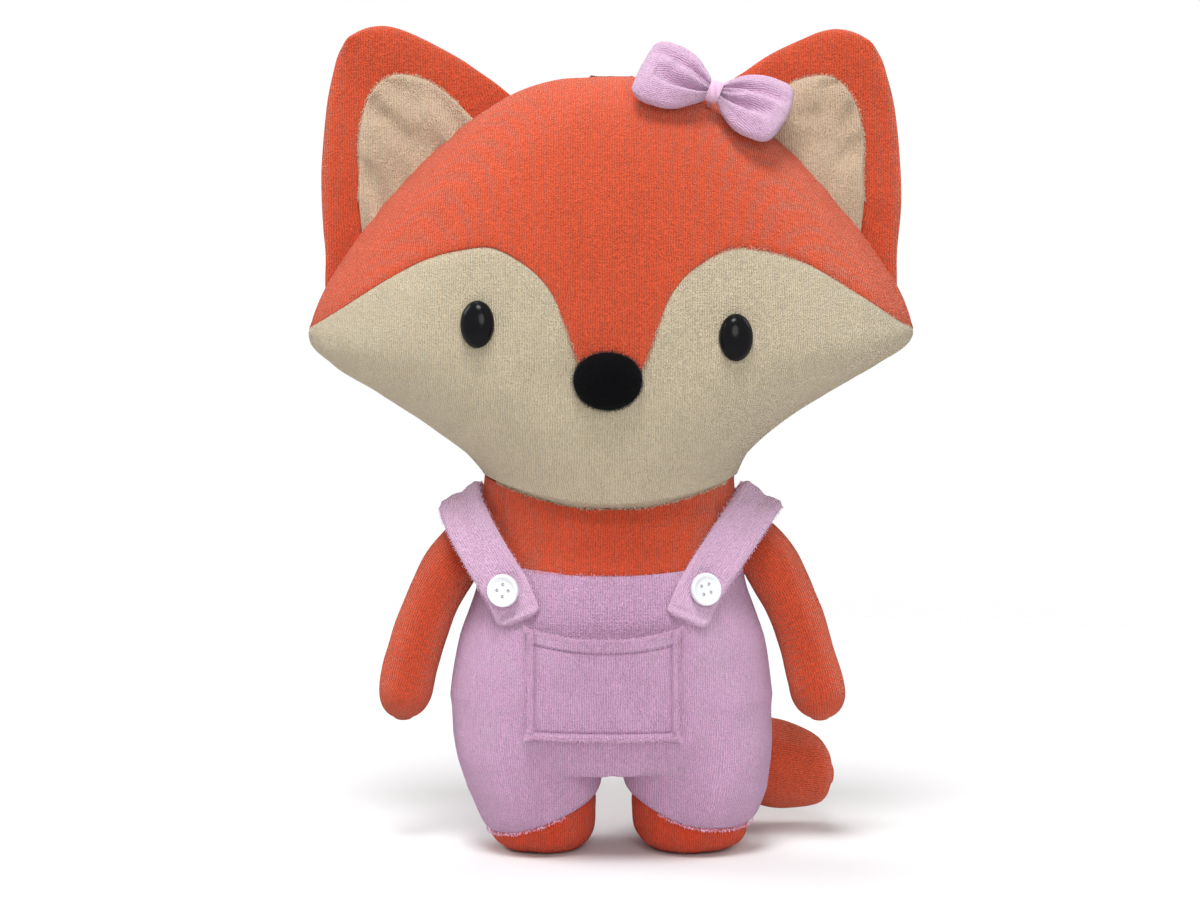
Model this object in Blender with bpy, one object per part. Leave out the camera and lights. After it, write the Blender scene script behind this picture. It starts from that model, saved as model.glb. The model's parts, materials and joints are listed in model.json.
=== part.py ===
# A stuffed toy fox in dungarees, sewn from velour panels over fibre filling.
# Metres, +Z up. The fox faces -Y and stands on its soles at z = 0.
# Left and right are the fox's own, so its left side is +X.

import math
from functools import lru_cache

import bmesh
import bpy
from mathutils import Matrix, Vector

# Cloth and clearances
GAP = 0.0003              # between pieces that are sewn or pressed together
CLOTH = 0.0015            # velour skin with its backing
FILL_GAP = 0.0006         # between a skin and the filling inside it

# Head
HEAD_HALF_WIDTH = 0.1087
CROWN_Z = 0.2793
CHEEK_Z = 0.1872
HEAD_FRONT_DEPTH = 0.050
HEAD_BACK_DEPTH = 0.047

# Neck, a dish that the head turns in: flat in the middle, then a rising cone
NECK_Z = 0.1272
NECK_GAP = 0.0008         # for the head to turn over the facets of the dish
NECK_FLAT_RADIUS = 0.028
NECK_SLOPE_SHARE = 0.55
NECK_CAP_SHARE = 0.98
HEAD_DISH_START_SHARE = 0.55
BODY_DISH_END_SHARE = 0.2
HEAD_CHIN_DEPTH = 0.033

# Ears
EAR_HEIGHT = 0.0572
EAR_HALF_THICKNESS = 0.0046
EAR_THINNING_SHARE = 0.25
EAR_INNER_END_SHARE = 0.167
EAR_OUTER_END_SHARE = 0.455
INNER_EAR_PUFF = 0.0016

# Eyes and nose
EYE_HALF_WIDTH = 0.0060
EYE_HALF_HEIGHT = 0.0083
EYE_DOME = 0.0046
EYE_RIGHT_X = 0.0466
EYE_RIGHT_Z = 0.1940
EYE_LEFT_X = 0.0430
EYE_LEFT_Z = 0.1895
EYE_SHANK_RADIUS = 0.0020
EYE_SHANK_LENGTH = 0.0080
WASHER_RADIUS = 0.0065
WASHER_THICKNESS = 0.0012
WASHER_SEAT = 0.0009      # from the inside of the face panel to the washer
NOSE_X = -0.0014
NOSE_Z = 0.1744
NOSE_HALF_WIDTH = 0.0126
NOSE_HALF_HEIGHT = 0.0101
NOSE_PUFF = 0.0068
NOSE_EDGE = 0.0006
NOSE_GAP = 0.00045

# Bow
BOW_X = 0.0340
BOW_Z = 0.2685
BOW_TURN = math.radians(-19)
BOW_LEAN = math.radians(35)
BOW_LOOP_LENGTH = 0.0256
BOW_LOOP_HALF_HEIGHT = 0.0134
BOW_LOOP_HALF_THICKNESS = 0.0052
BOW_NECK_HALF_HEIGHT = 0.0030
BOW_NECK_HALF_THICKNESS = 0.0026
BOW_SHANK_RADIUS = 0.0012
BOW_SHANK_TILT_SHARE = 0.45   # rise of the head's surface across the shank, per radius
BOW_WRAP_RADIUS = 0.0009
BOW_WRAP_SPAN = 0.0044
BOW_WRAP_SHARES = (-1.0, -0.6, 0.0, 0.6, 1.0)
BOW_WRAP_ROUND_SHARE = 0.8

# Body
HIP_HALF_WIDTH = 0.0585
BELLY_DEPTH = 0.0380
BODY_TOP_Z = 0.1370
WAIST_Z = 0.1040
WAIST_SIDE_RISE = 0.0025
CROTCH_Z = 0.0275

# Legs and feet
LEG_TOP_Z = 0.0560
LEG_SPREAD = 0.0296
LEG_HALF_WIDTH = 0.0270
LEG_HALF_DEPTH = 0.0310
CUFF_OUTER_Z = 0.0080
CUFF_RISE = 0.0160
CUFF_CURVE_SHARE = 1.6
FOOT_CORNER = 0.0130
SOLE_CUT = 0.0005

# Arms
SHOULDER_SHARE = 0.814     # of the body's height, where the arms are sewn on
ARM_ROOT_RADIUS = 0.0120
ARM_HALF_DEPTH = 0.0092
ARM_REACH = 0.0372
ARM_DROP = 0.0644

SHOULDER_Z = SHOULDER_SHARE * BODY_TOP_Z

# Tail
TAIL_ROOT_X = 0.0060
TAIL_ROOT_Z = 0.0340
TAIL_LENGTH = 0.0780
TAIL_HALF_HEIGHT = 0.0168
TAIL_HALF_DEPTH = 0.0113
TAIL_DIP = 0.0150

# Dungaree trim
TRIM_X = -0.0030          # the straps and pocket sit a little off the centre
STRAP_WIDTH = 0.0165
STRAP_BUTTON_X = 0.0340
STRAP_BUTTON_Z = 0.0980
STRAP_TAIL = 0.0105
STRAP_SLANT_SHARE = 0.45   # how far a tail runs inward, per height
STRAP_TOP_X = 0.0543
STRAP_TOP_Z = 0.1290
STRAP_LEAN = math.radians(32)
STRAP_LIFT = 0.0005
BUTTON_RADIUS = 0.0059
BUTTON_THICKNESS = 0.0022
BUTTON_DISH = 0.0007
BUTTON_DISH_SHARE = 0.56
BUTTON_HOLE_RADIUS = 0.00075
BUTTON_HOLE_SPACING = 0.0030
SEAT_SAMPLES = 6          # steps each way in finding the height a button rests at
POCKET_HALF_WIDTH = 0.0268
POCKET_TOP_Z = 0.0856
POCKET_BOTTOM_Z = 0.0462
POCKET_GAPE = 0.0068
POCKET_SAG = 0.0026

# Overrun of every cutter past what it cuts
CUTTER_OVERRUN = 0.0020

# Steps of the searches for a place, and how fine they look
HALVINGS = 40
SETTLE_STEPS = 12
SEARCH_STEPS = 16
SLANT_STEP_SHARE = 0.01
SEAM_SLANT_LIMIT = 4.0
EDGE_LIMIT_SHARE = 0.999

# Numbers of segments
FRONT_COLUMNS = 24
BODY_COLUMNS = 32
LEG_COLUMNS = 20
LIMB_COLUMNS = 16
EAR_COLUMNS = 24
CROWN_ROWS = 6
BROW_ROWS = 7
HIP_ROWS = 11
LEG_ROWS = 5
INNER_EAR_ROWS = 7
INNER_EAR_COLUMNS = 8
NOSE_COLUMNS = 21
STRAP_ROWS = 18
STRAP_TAIL_ROWS = 4
POCKET_ROWS = 8
POCKET_COLUMNS = 12
EYE_SIDES = 20
BOW_SIDES = 14
BUTTON_SIDES = 24
ROD_SIDES = 16
HOLE_SIDES = 10
SHARP_ANGLE = math.radians(50)

# Rows of segments, as shares of a form's own length or radius
FOOT_ROW_SHARES = (0.0, 0.35, 0.62, 0.80, 0.92, 1.0)
CHEST_FILL_SHARES = (0.0, 0.25, 0.5, 0.75)
ARM_ROW_SHARES = (0.0, 0.1, 0.2, 0.3, 0.4, 0.5, 0.6, 0.7, 0.8, 0.89, 0.95, 1.0)
TAIL_ROW_SHARES = (0.0, 0.14, 0.28, 0.42, 0.56, 0.68, 0.79, 0.88, 0.95, 1.0)
EAR_ROW_SHARES = (0.0, 0.16, 0.34, 0.52, 0.68, 0.82, 0.92, 0.975, 1.0)
NOSE_RING_SHARES = (1.0, 0.92, 0.75, 0.5, 0.25, 0.0)
EYE_SLOPES = tuple(math.radians(lean) for lean in (0, 22, 44, 64, 80))

# Head outline, crown to neck: half-width, then height above (+) or below (-) the cheeks
HEAD_OUTLINE_SHARES = [
    (0.0, 1.0), (0.09, 0.999), (0.20, 0.986), (0.32, 0.936), (0.45, 0.839),
    (0.553, 0.747), (0.656, 0.635), (0.755, 0.500), (0.879, 0.300),
    (0.945, 0.180), (0.985, 0.070), (1.0, -0.005), (0.972, -0.078),
    (0.888, -0.163), (0.809, -0.230), (0.707, -0.304), (0.598, -0.383),
    (0.485, -0.473), (0.432, -0.538),
]

# Seam between the forehead and the face: share of the half-width, share of the height
# between the cheeks and the crown
SEAM_SHARES = [
    (0.0, -0.170), (0.045, -0.150), (0.085, -0.110), (0.108, -0.066), (0.132, 0.022),
    (0.161, 0.105), (0.200, 0.186), (0.266, 0.262), (0.356, 0.321), (0.450, 0.359),
    (0.530, 0.359), (0.660, 0.326), (0.760, 0.262), (0.900, 0.121), (1.0, 0.030),
]

# Body form, neck to crotch: height share, half-width share, half-depth share
BODY_SHARES = [
    (1.0, 0.775, 0.71), (0.91, 0.785, 0.763), (0.82, 0.795, 0.803), (0.76, 0.800, 0.860),
    (0.705, 0.822, 0.908), (0.642, 0.875, 0.947), (0.58, 0.928, 0.974),
    (0.52, 0.962, 0.995), (0.45, 0.986, 1.0), (0.39, 1.0, 1.0), (0.33, 0.993, 0.98),
    (0.28, 0.955, 0.94), (0.24, 0.85, 0.85), (0.215, 0.65, 0.66), (0.203, 0.35, 0.38),
]

# Leg form, top to sole: height share, centre share, half-width share, half-depth share
LEG_SHARES = [
    (1.0, 0.86, 0.84, 0.78), (0.72, 0.985, 0.985, 0.98), (0.54, 1.0, 0.975, 0.94),
    (0.43, 0.986, 0.918, 0.89), (0.286, 0.953, 0.837, 0.81), (0.143, 0.878, 0.741, 0.71),
    (0.0, 0.850, 0.700, 0.66),
]

# Arm, shoulder to hand: outer edge then inner edge, each as a share of the reach
# and of the drop below the shoulder, and the half-depth share
ARM_SHARES = [
    (0.00, -0.186, 0.00, 0.186, 0.92), (0.20, -0.155, 0.018, 0.205, 0.95),
    (0.39, -0.050, 0.065, 0.240, 0.97), (0.56, 0.095, 0.130, 0.300, 1.0),
    (0.715, 0.305, 0.230, 0.410, 1.0), (0.860, 0.535, 0.330, 0.575, 1.0),
    (0.975, 0.765, 0.425, 0.785, 1.0), (0.985, 0.880, 0.480, 0.890, 0.85),
    (0.910, 0.960, 0.580, 0.962, 0.52),
]
ARM_TIP_SHARE = (0.745, 1.0)

# Ear, base to tip: height share, near edge and far edge as shares of the base
EAR_SHARES = [
    (0.0, 0.016, 1.020), (0.15, 0.038, 0.941), (0.30, 0.056, 0.853), (0.45, 0.082, 0.762),
    (0.62, 0.115, 0.652), (0.76, 0.148, 0.561), (0.87, 0.190, 0.476), (0.95, 0.246, 0.410),
    (0.988, 0.298, 0.352), (1.0, 0.328, 0.328),
]
INNER_EAR_SHARES = [
    (0.06, 0.190, 0.745), (0.164, 0.195, 0.672), (0.28, 0.207, 0.612), (0.367, 0.225, 0.563),
    (0.47, 0.262, 0.485), (0.53, 0.300, 0.420), (0.556, 0.355, 0.355),
]

# Tail, root to tip: length share, half-height share, half-depth share
TAIL_SHARES = [
    (0.0, 0.52, 0.70), (0.16, 0.62, 0.76), (0.36, 0.80, 0.90), (0.56, 0.95, 1.0),
    (0.74, 0.99, 1.0), (0.88, 0.84, 0.86), (0.96, 0.56, 0.60), (1.0, 0.0, 0.0),
]

# Bow loop, knot to end: length share, then its swell from the knot's size to its own
BOW_LOOP_SHARES = [
    (0.0, 0.0), (0.06, 0.30), (0.16, 0.62), (0.32, 0.86), (0.52, 1.0), (0.74, 0.97),
    (0.9, 0.86), (0.97, 0.66),
]

# Button, strap side to face: radius share and thickness share
BUTTON_RIM_SHARES = [(1.0, 0.0), (1.0, 0.75), (0.94, 1.0), (0.80, 1.0), (0.66, 1.0)]

# Powers that round off a swell
ROUND_POWER = 6
GAPE_POWER = 1.5

# Colours, linear
ORANGE = (0.745, 0.115, 0.035)
CREAM = (0.660, 0.520, 0.340)
PINK = (0.700, 0.400, 0.620)
BLACK = (0.010, 0.010, 0.011)
WHITE = (0.780, 0.790, 0.810)
FIBRE = (0.800, 0.800, 0.780)
CLOTH_ROUGHNESS = 0.9
PLASTIC_ROUGHNESS = 0.15
BUTTON_ROUGHNESS = 0.35

# The level rows over the crown: their share of the rows, and how far down they reach
CROWN_ROWS_SHARE = 0.6
CROWN_SHARE = 0.41

TAU = 2.0 * math.pi
WELD = 1e-7               # points closer than this are one
STEP_SHARE = 0.001        # parameter step for finding a surface's direction


def clear_scene():
    for old in list(bpy.data.objects):
        bpy.data.objects.remove(old, do_unlink=True)


def material(name, colour, roughness):
    """A plain material with one colour."""
    made = bpy.data.materials.new(name)
    made.use_nodes = True
    shader = made.node_tree.nodes["Principled BSDF"]
    shader.inputs["Base Color"].default_value = (*colour, 1.0)
    shader.inputs["Roughness"].default_value = roughness
    shader.inputs["Metallic"].default_value = 0.0
    made.diffuse_color = (*colour, 1.0)
    return made


def spline(table, position):
    """A smooth curve through the table's rows, at a position from 0 to 1."""
    last = len(table) - 1
    place = min(max(position, 0.0), 1.0) * last
    index = min(int(place), last - 1)
    t = place - index
    rows = [table[max(index - 1, 0)], table[index], table[index + 1], table[min(index + 2, last)]]
    values = []
    for a, b, c, d in zip(*rows):
        values.append(0.5 * (2.0 * b + (c - a) * t + (2.0 * a - 5.0 * b + 4.0 * c - d) * t * t
                             + (3.0 * b - 3.0 * c + d - a) * t * t * t))
    return values


def find_position(table, value, column=0, falling=False):
    """The position on the curve at which one column has a value."""
    return find_in_rows(tuple(table), value, column, falling)


@lru_cache(maxsize=None)
def find_in_rows(table, value, column, falling):
    low, high = 0.0, 1.0
    for _ in range(HALVINGS):
        middle = 0.5 * (low + high)
        below = spline(table, middle)[column] < value
        if below != falling:
            low = middle
        else:
            high = middle
    return 0.5 * (low + high)


def spread(count, start=0.0, end=1.0):
    """Evenly spaced values, both ends included."""
    return [start + (end - start) * index / count for index in range(count + 1)]


def place_object(name, mesh, shade_material):
    item = bpy.data.objects.new(name, mesh)
    bpy.context.scene.collection.objects.link(item)
    if shade_material is not None:
        mesh.materials.append(shade_material)
    return item


def finish_mesh(name, shape, shade_material):
    """Weld the poles, point the faces outward and hand the mesh to an object."""
    bmesh.ops.remove_doubles(shape, verts=shape.verts, dist=WELD)
    bmesh.ops.dissolve_degenerate(shape, edges=shape.edges, dist=WELD)
    bmesh.ops.recalc_face_normals(shape, faces=shape.faces)
    if shape.calc_volume(signed=True) < 0.0:
        bmesh.ops.reverse_faces(shape, faces=shape.faces)
    mesh = bpy.data.meshes.new(name)
    shape.to_mesh(mesh)
    shape.free()
    mesh.shade_smooth()
    mesh.set_sharp_from_angle(angle=SHARP_ANGLE)
    return place_object(name, mesh, shade_material)


def link_rows(shape, first, second, wrap):
    """Quads between two rows of vertices, skipping those that have collapsed."""
    count = len(first)
    for index in range(count if wrap else count - 1):
        after = (index + 1) % count
        corners = [first[index], first[after], second[after], second[index]]
        spots = []
        for corner in corners:
            if all((corner.co - spot.co).length > WELD for spot in spots):
                spots.append(corner)
        if len(spots) > 2:
            shape.faces.new(spots)


def add_rows(shape, rows):
    return [[shape.verts.new(point) for point in row] for row in rows]


def solid(name, rows, shade_material, start_cap=True, strip_end=False):
    """A closed solid from rings of points; an end ring that isn't a point is capped.

    A strip end joins the points that stand straight across the ring from each other.
    """
    shape = bmesh.new()
    rings = add_rows(shape, rows)
    for first, second in zip(rings, rings[1:]):
        link_rows(shape, first, second, True)
    ends = [rings[0]] if start_cap else []
    if strip_end:
        ring = rings[-1]
        half = len(ring) // 2
        link_rows(shape, ring[:half + 1], [ring[-index] for index in range(half + 1)], False)
    else:
        ends.append(rings[-1])
    for ring in ends:
        if (ring[0].co - ring[len(ring) // 2].co).length > WELD:
            shape.faces.new(ring)
    return finish_mesh(name, shape, shade_material)


def skin(name, outer, inner, shade_material, wrap, start_open=True, end_open=True):
    """A closed skin between an outer and an inner grid of points."""
    shape = bmesh.new()
    outside = add_rows(shape, outer)
    inside = add_rows(shape, inner)
    for layer in (outside, inside):
        for first, second in zip(layer, layer[1:]):
            link_rows(shape, first, second, wrap)
    if start_open:
        link_rows(shape, outside[0], inside[0], wrap)
    if end_open:
        link_rows(shape, outside[-1], inside[-1], wrap)
    if not wrap:
        for column in (0, -1):
            edge_out = [row[column] for row in outside]
            edge_in = [row[column] for row in inside]
            link_rows(shape, edge_out, edge_in, False)
    return finish_mesh(name, shape, shade_material)


def inward(surface, row, column, depth):
    """A point on a surface, moved in along its normal."""
    low = max(row - STEP_SHARE, 0.0)
    high = min(row + STEP_SHARE, 1.0)
    along_row = surface(high, column) - surface(low, column)
    probe = min(max(row, STEP_SHARE), 1.0 - STEP_SHARE)
    along_column = surface(probe, column + STEP_SHARE) - surface(probe, column - STEP_SHARE)
    normal = along_row.cross(along_column).normalized()
    return surface(row, column) + normal * depth


def grid(surface, rows, columns, depth=0.0):
    """Points of a surface, a row for each row value; a pole's points are made one."""
    points = []
    for row in rows:
        ring = [inward(surface, row, column, depth) for column in columns]
        spots = [surface(row, column) for column in columns]
        if max((spot - spots[0]).length for spot in spots) < WELD:
            middle = sum(ring, Vector()) / len(ring)
            ring = [middle.copy() for _ in ring]
        points.append(ring)
    return points


def cut(target, cutter, operation="DIFFERENCE"):
    """Cut, or join, one object with another that is left out of the part."""
    change = target.modifiers.new(cutter.name, "BOOLEAN")
    change.operation = operation
    change.solver = "EXACT"
    change.object = cutter
    cutter.hide_render = True
    cutter.display_type = "WIRE"


def rod(name, centre, axis, radius, start, end, sides=ROD_SIDES, shade_material=None):
    """A cylinder about an axis, between two distances along it."""
    turn = axis.to_track_quat("Z", "Y").to_matrix()
    rows = []
    for height in (start, end):
        ring = []
        for side in range(sides):
            angle = TAU * side / sides
            spot = Vector((radius * math.cos(angle), radius * math.sin(angle), height))
            ring.append(centre + turn @ spot)
        rows.append(ring)
    return solid(name, rows, shade_material)


# Neck

def neck_height(x, y):
    """Height of the dish between the head and the body."""
    radius = math.hypot(x, y)
    return NECK_Z + NECK_SLOPE_SHARE * max(radius - NECK_FLAT_RADIUS, 0.0)


def neck_cap(ring, lift):
    """Rings that close a neck ring across the dish, ending in a point."""
    middle = []
    for point in ring:
        radius = math.hypot(point.x, point.y)
        shrink = min(NECK_FLAT_RADIUS / radius, 1.0) * NECK_CAP_SHARE
        middle.append(Vector((point.x * shrink, point.y * shrink, NECK_Z + lift)))
    centre = Vector((0.0, 0.0, NECK_Z + lift))
    return [middle, [centre.copy() for _ in ring]]


# Head

def head_level(position):
    """Half-width, height and depth share of the head at a position from crown to neck."""
    width_share, height_share = spline(HEAD_OUTLINE_SHARES, position)
    width_share = max(width_share, 0.0)
    height = CHEEK_Z + height_share * (CROWN_Z - CHEEK_Z)
    if height_share > 0.0:
        depth_share = math.sqrt(max(1.0 - height_share ** 2, 0.0))
    else:
        fall = height_share / HEAD_OUTLINE_SHARES[-1][1]
        end_share = HEAD_CHIN_DEPTH / HEAD_FRONT_DEPTH
        depth_share = math.sqrt(1.0 - (1.0 - end_share ** 2) * fall ** 2)
    return width_share * HEAD_HALF_WIDTH, height, depth_share


def head_surface(position, angle):
    """The head's outside; angle 0 is the fox's left seam, a quarter turn its front."""
    width, height, depth_share = head_level(position)
    depth = (HEAD_FRONT_DEPTH if math.sin(angle) > 0.0 else HEAD_BACK_DEPTH) * depth_share
    x = width * math.cos(angle)
    y = -depth * math.sin(angle)
    if position > HEAD_DISH_START_SHARE:
        # The underside settles into the neck's dish
        share = ((position - HEAD_DISH_START_SHARE) / (1.0 - HEAD_DISH_START_SHARE)) ** 2
        edge = head_level(1.0)[1]
        height += share * (neck_height(x, y) - edge)
    return Vector((x, y, height))


def head_front_y(x, z):
    """Depth of the face's outside at a place in the front view."""
    height_share = (z - CHEEK_Z) / (CROWN_Z - CHEEK_Z)
    position = find_position(HEAD_OUTLINE_SHARES, height_share, 1, True)
    angle = 0.5 * math.pi
    for _ in range(SETTLE_STEPS):
        width = head_level(position)[0]
        angle = math.acos(min(max(x / width, -1.0), 1.0))
        off = head_surface(position, angle).z - z
        position += off / (CROWN_Z - NECK_Z)
        position = min(max(position, 0.0), 1.0)
    return head_surface(position, angle).y


def head_front_normal(x, z):
    """Outward direction of the face at a place in the front view."""
    step = CLOTH
    across = Vector((2.0 * step, head_front_y(x + step, z) - head_front_y(x - step, z), 0.0))
    up = Vector((0.0, head_front_y(x, z + step) - head_front_y(x, z - step), 2.0 * step))
    return across.cross(up).normalized()


@lru_cache(maxsize=None)
def seam_position(angle, clearance):
    """Position of the forehead seam on the head, moved along the outline by a clearance."""
    across = abs(math.cos(angle))
    place = find_position(SEAM_SHARES, across)
    share = spline(SEAM_SHARES, place)[1]
    step = SLANT_STEP_SHARE
    before = spline(SEAM_SHARES, place - step)
    after = spline(SEAM_SHARES, place + step)
    run = (after[0] - before[0]) * HEAD_HALF_WIDTH
    rise = (after[1] - before[1]) * (CROWN_Z - CHEEK_Z)
    slant = math.hypot(run, rise) / max(abs(run), 1e-9)
    share += clearance * min(slant, SEAM_SLANT_LIMIT) / (CROWN_Z - CHEEK_Z)
    return find_position(HEAD_OUTLINE_SHARES, share, 1, True)


def forehead_position(share, seam):
    """Level rows over the crown, then rows that drop to the seam."""
    if share < CROWN_ROWS_SHARE:
        return share / CROWN_ROWS_SHARE * CROWN_SHARE
    drop = (share - CROWN_ROWS_SHARE) / (1.0 - CROWN_ROWS_SHARE)
    return CROWN_SHARE + (seam - CROWN_SHARE) * drop


def forehead_surface(share, angle):
    return head_surface(forehead_position(share, seam_position(angle, 0.5 * GAP)), angle)


def face_surface(share, angle):
    start = seam_position(angle, -0.5 * GAP)
    return head_surface(start + (1.0 - start) * share, angle)


def shift_rows(rows, distance):
    """Move every point in y, to leave the side seam's clearance."""
    return [[point + Vector((0.0, distance, 0.0)) for point in row] for row in rows]


def keep_above_neck(rows):
    for point in rows[-1]:
        point.z = max(point.z, neck_height(point.x, point.y))


def whole_surface(share, angle):
    """The head's outside as one surface, its middle row on the forehead seam."""
    start = seam_position(angle if math.sin(angle) > 0.0 else 0.0, 0.0)
    if share < 0.5:
        return head_surface(forehead_position(2.0 * share, start), angle)
    return head_surface(start + (1.0 - start) * (2.0 * share - 1.0), angle)


def head_layer(surface, rows, columns, depth, shift):
    """Points of a head panel's layer, its crown point straight under the crown."""
    points = grid(surface, rows, columns, depth)
    if rows[0] == 0.0 and surface is not face_surface:
        points[0] = [Vector((0.0, 0.0, CROWN_Z - depth)) for _ in columns]
    return shift_rows(points, shift)


def build_head(materials):
    seam = 0.5 * GAP
    front = [angle for angle in spread(FRONT_COLUMNS, 0.0, math.pi)]
    upper = spread(CROWN_ROWS, 0.0, CROWN_ROWS_SHARE)
    upper += spread(4, CROWN_ROWS_SHARE, 1.0)[1:]
    lower = spread(BROW_ROWS)
    outer = head_layer(forehead_surface, upper, front, 0.0, -seam)
    inner = head_layer(forehead_surface, upper, front, CLOTH, -seam)
    forehead = skin("forehead_panel", outer, inner, materials["orange"], False, False)

    outer = head_layer(face_surface, lower, front, 0.0, -seam)
    inner = head_layer(face_surface, lower, front, CLOTH, -seam)
    keep_above_neck(outer)
    keep_above_neck(inner)
    face = skin("face_panel", outer, inner, materials["cream"], False)

    rows = [0.5 * share for share in upper] + [0.5 + 0.5 * share for share in lower[1:]]
    back = [angle + math.pi for angle in front[::2]]
    outer = head_layer(whole_surface, rows, back, 0.0, seam)
    inner = head_layer(whole_surface, rows, back, CLOTH, seam)
    keep_above_neck(outer)
    keep_above_neck(inner)
    back_panel = skin("head_back_panel", outer, inner, materials["orange"], False, False)

    around = spread(FRONT_COLUMNS, 0.0, TAU)[:-1]
    points = head_layer(whole_surface, rows, around, CLOTH + FILL_GAP, 0.0)
    keep_above_neck(points)
    points += neck_cap(points[-1], 0.0)
    filling = solid("head_filling", points, materials["fibre"])
    return [forehead, face, back_panel, filling]


# Body, legs and feet

def body_level(position):
    """Height, half-width and half-depth of the body at a position from neck to crotch."""
    height_share, width_share, depth_share = spline(BODY_SHARES, position)
    return height_share * BODY_TOP_Z, width_share * HIP_HALF_WIDTH, depth_share * BELLY_DEPTH


def body_position(height):
    return find_position(BODY_SHARES, height / BODY_TOP_Z, 0, True)


def body_surface(position, angle):
    """The body's outside; its top settles under the neck's dish."""
    height, width, depth = body_level(position)
    x = width * math.cos(angle)
    y = -depth * math.sin(angle)
    if position < BODY_DISH_END_SHARE:
        share = (BODY_DISH_END_SHARE - position) / BODY_DISH_END_SHARE
        height += share * (neck_height(x, y) - NECK_GAP - BODY_TOP_Z)
    return Vector((x, y, height))


def body_y(x, height, clearance=0.0):
    """Depth of the body's front at a place in the front view."""
    width, depth = body_level(body_position(height))[1:]
    share = min(abs(x) / (width + clearance), EDGE_LIMIT_SHARE)
    return -(depth + clearance) * math.sqrt(1.0 - share ** 2)


@lru_cache(maxsize=None)
def waist_position(angle, clearance):
    return body_position(WAIST_Z + WAIST_SIDE_RISE * math.cos(angle) ** 2 + clearance)


def chest_surface(share, angle):
    return body_surface(share * waist_position(angle, 0.5 * GAP), angle)


def hip_surface(share, angle):
    start = waist_position(angle, -0.5 * GAP)
    return body_surface(start + (1.0 - start) * share, angle)


def hip_hollow_surface(share, angle):
    start = waist_position(angle, CUTTER_OVERRUN)
    return body_surface(start + (1.0 - start) * share, angle)


def keep_below_neck(ring):
    for point in ring:
        point.z = min(point.z, neck_height(point.x, point.y) - NECK_GAP)


@lru_cache(maxsize=None)
def leg_level(height):
    """Centre, half-width and half-depth of a leg at a height."""
    position = find_position(LEG_SHARES, height / LEG_TOP_Z, 0, True)
    centre_share, width_share, depth_share = spline(LEG_SHARES, position)[1:]
    round_share = 1.0
    if height < FOOT_CORNER:
        rest = (FOOT_CORNER - height) / (FOOT_CORNER + SOLE_CUT)
        round_share = (1.0 - rest ** 3) ** (1.0 / 3.0)
    return (centre_share * LEG_SPREAD, width_share * round_share * LEG_HALF_WIDTH,
            depth_share * round_share * LEG_HALF_DEPTH)


def leg_point(side, height, angle):
    centre, width, depth = leg_level(height)
    x = side * centre + width * math.cos(angle)
    return Vector((x, -depth * math.sin(angle), height))


def cuff_line(across):
    """Height of the trouser cuff, low outside and high between the legs."""
    centre, half = leg_level(CUFF_OUTER_Z)[:2]
    inside = 1.0 - min(max(across, 0.0), centre + half) / (centre + half)
    return CUFF_OUTER_Z + CUFF_RISE * inside ** CUFF_CURVE_SHARE


@lru_cache(maxsize=None)
def cuff_height(side, angle):
    """Height of the trouser cuff at an angle round a leg."""
    height = CUFF_OUTER_Z + 0.5 * CUFF_RISE
    for _ in range(HALVINGS):
        target = cuff_line(side * leg_point(side, height, angle).x)
        height += 0.5 * (target - height)
    return height


def leg_rows(side, shares, columns, start, end_clearance, depth):
    """Rings of a leg from a height down to its cuff, moved in by a depth."""
    def surface(share, angle):
        end = cuff_height(side, angle) + end_clearance
        return leg_point(side, start + (end - start) * share, angle)
    return grid(surface, shares, columns, depth)


def foot_rows(side, columns, depth):
    def surface(share, angle):
        top = cuff_height(side, angle) - 0.5 * GAP
        return leg_point(side, top * (1.0 - share), angle)
    rows = grid(surface, FOOT_ROW_SHARES, columns, depth)
    centre = Vector((side * leg_level(0.0)[0], 0.0, 0.0))
    for point in rows[0]:
        point.z = cuff_line(side * point.x) - 0.5 * GAP
    for point in rows[-1]:
        point.z = depth
    centre.z = depth
    rows.append([centre.copy() for _ in columns])
    return rows


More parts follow.
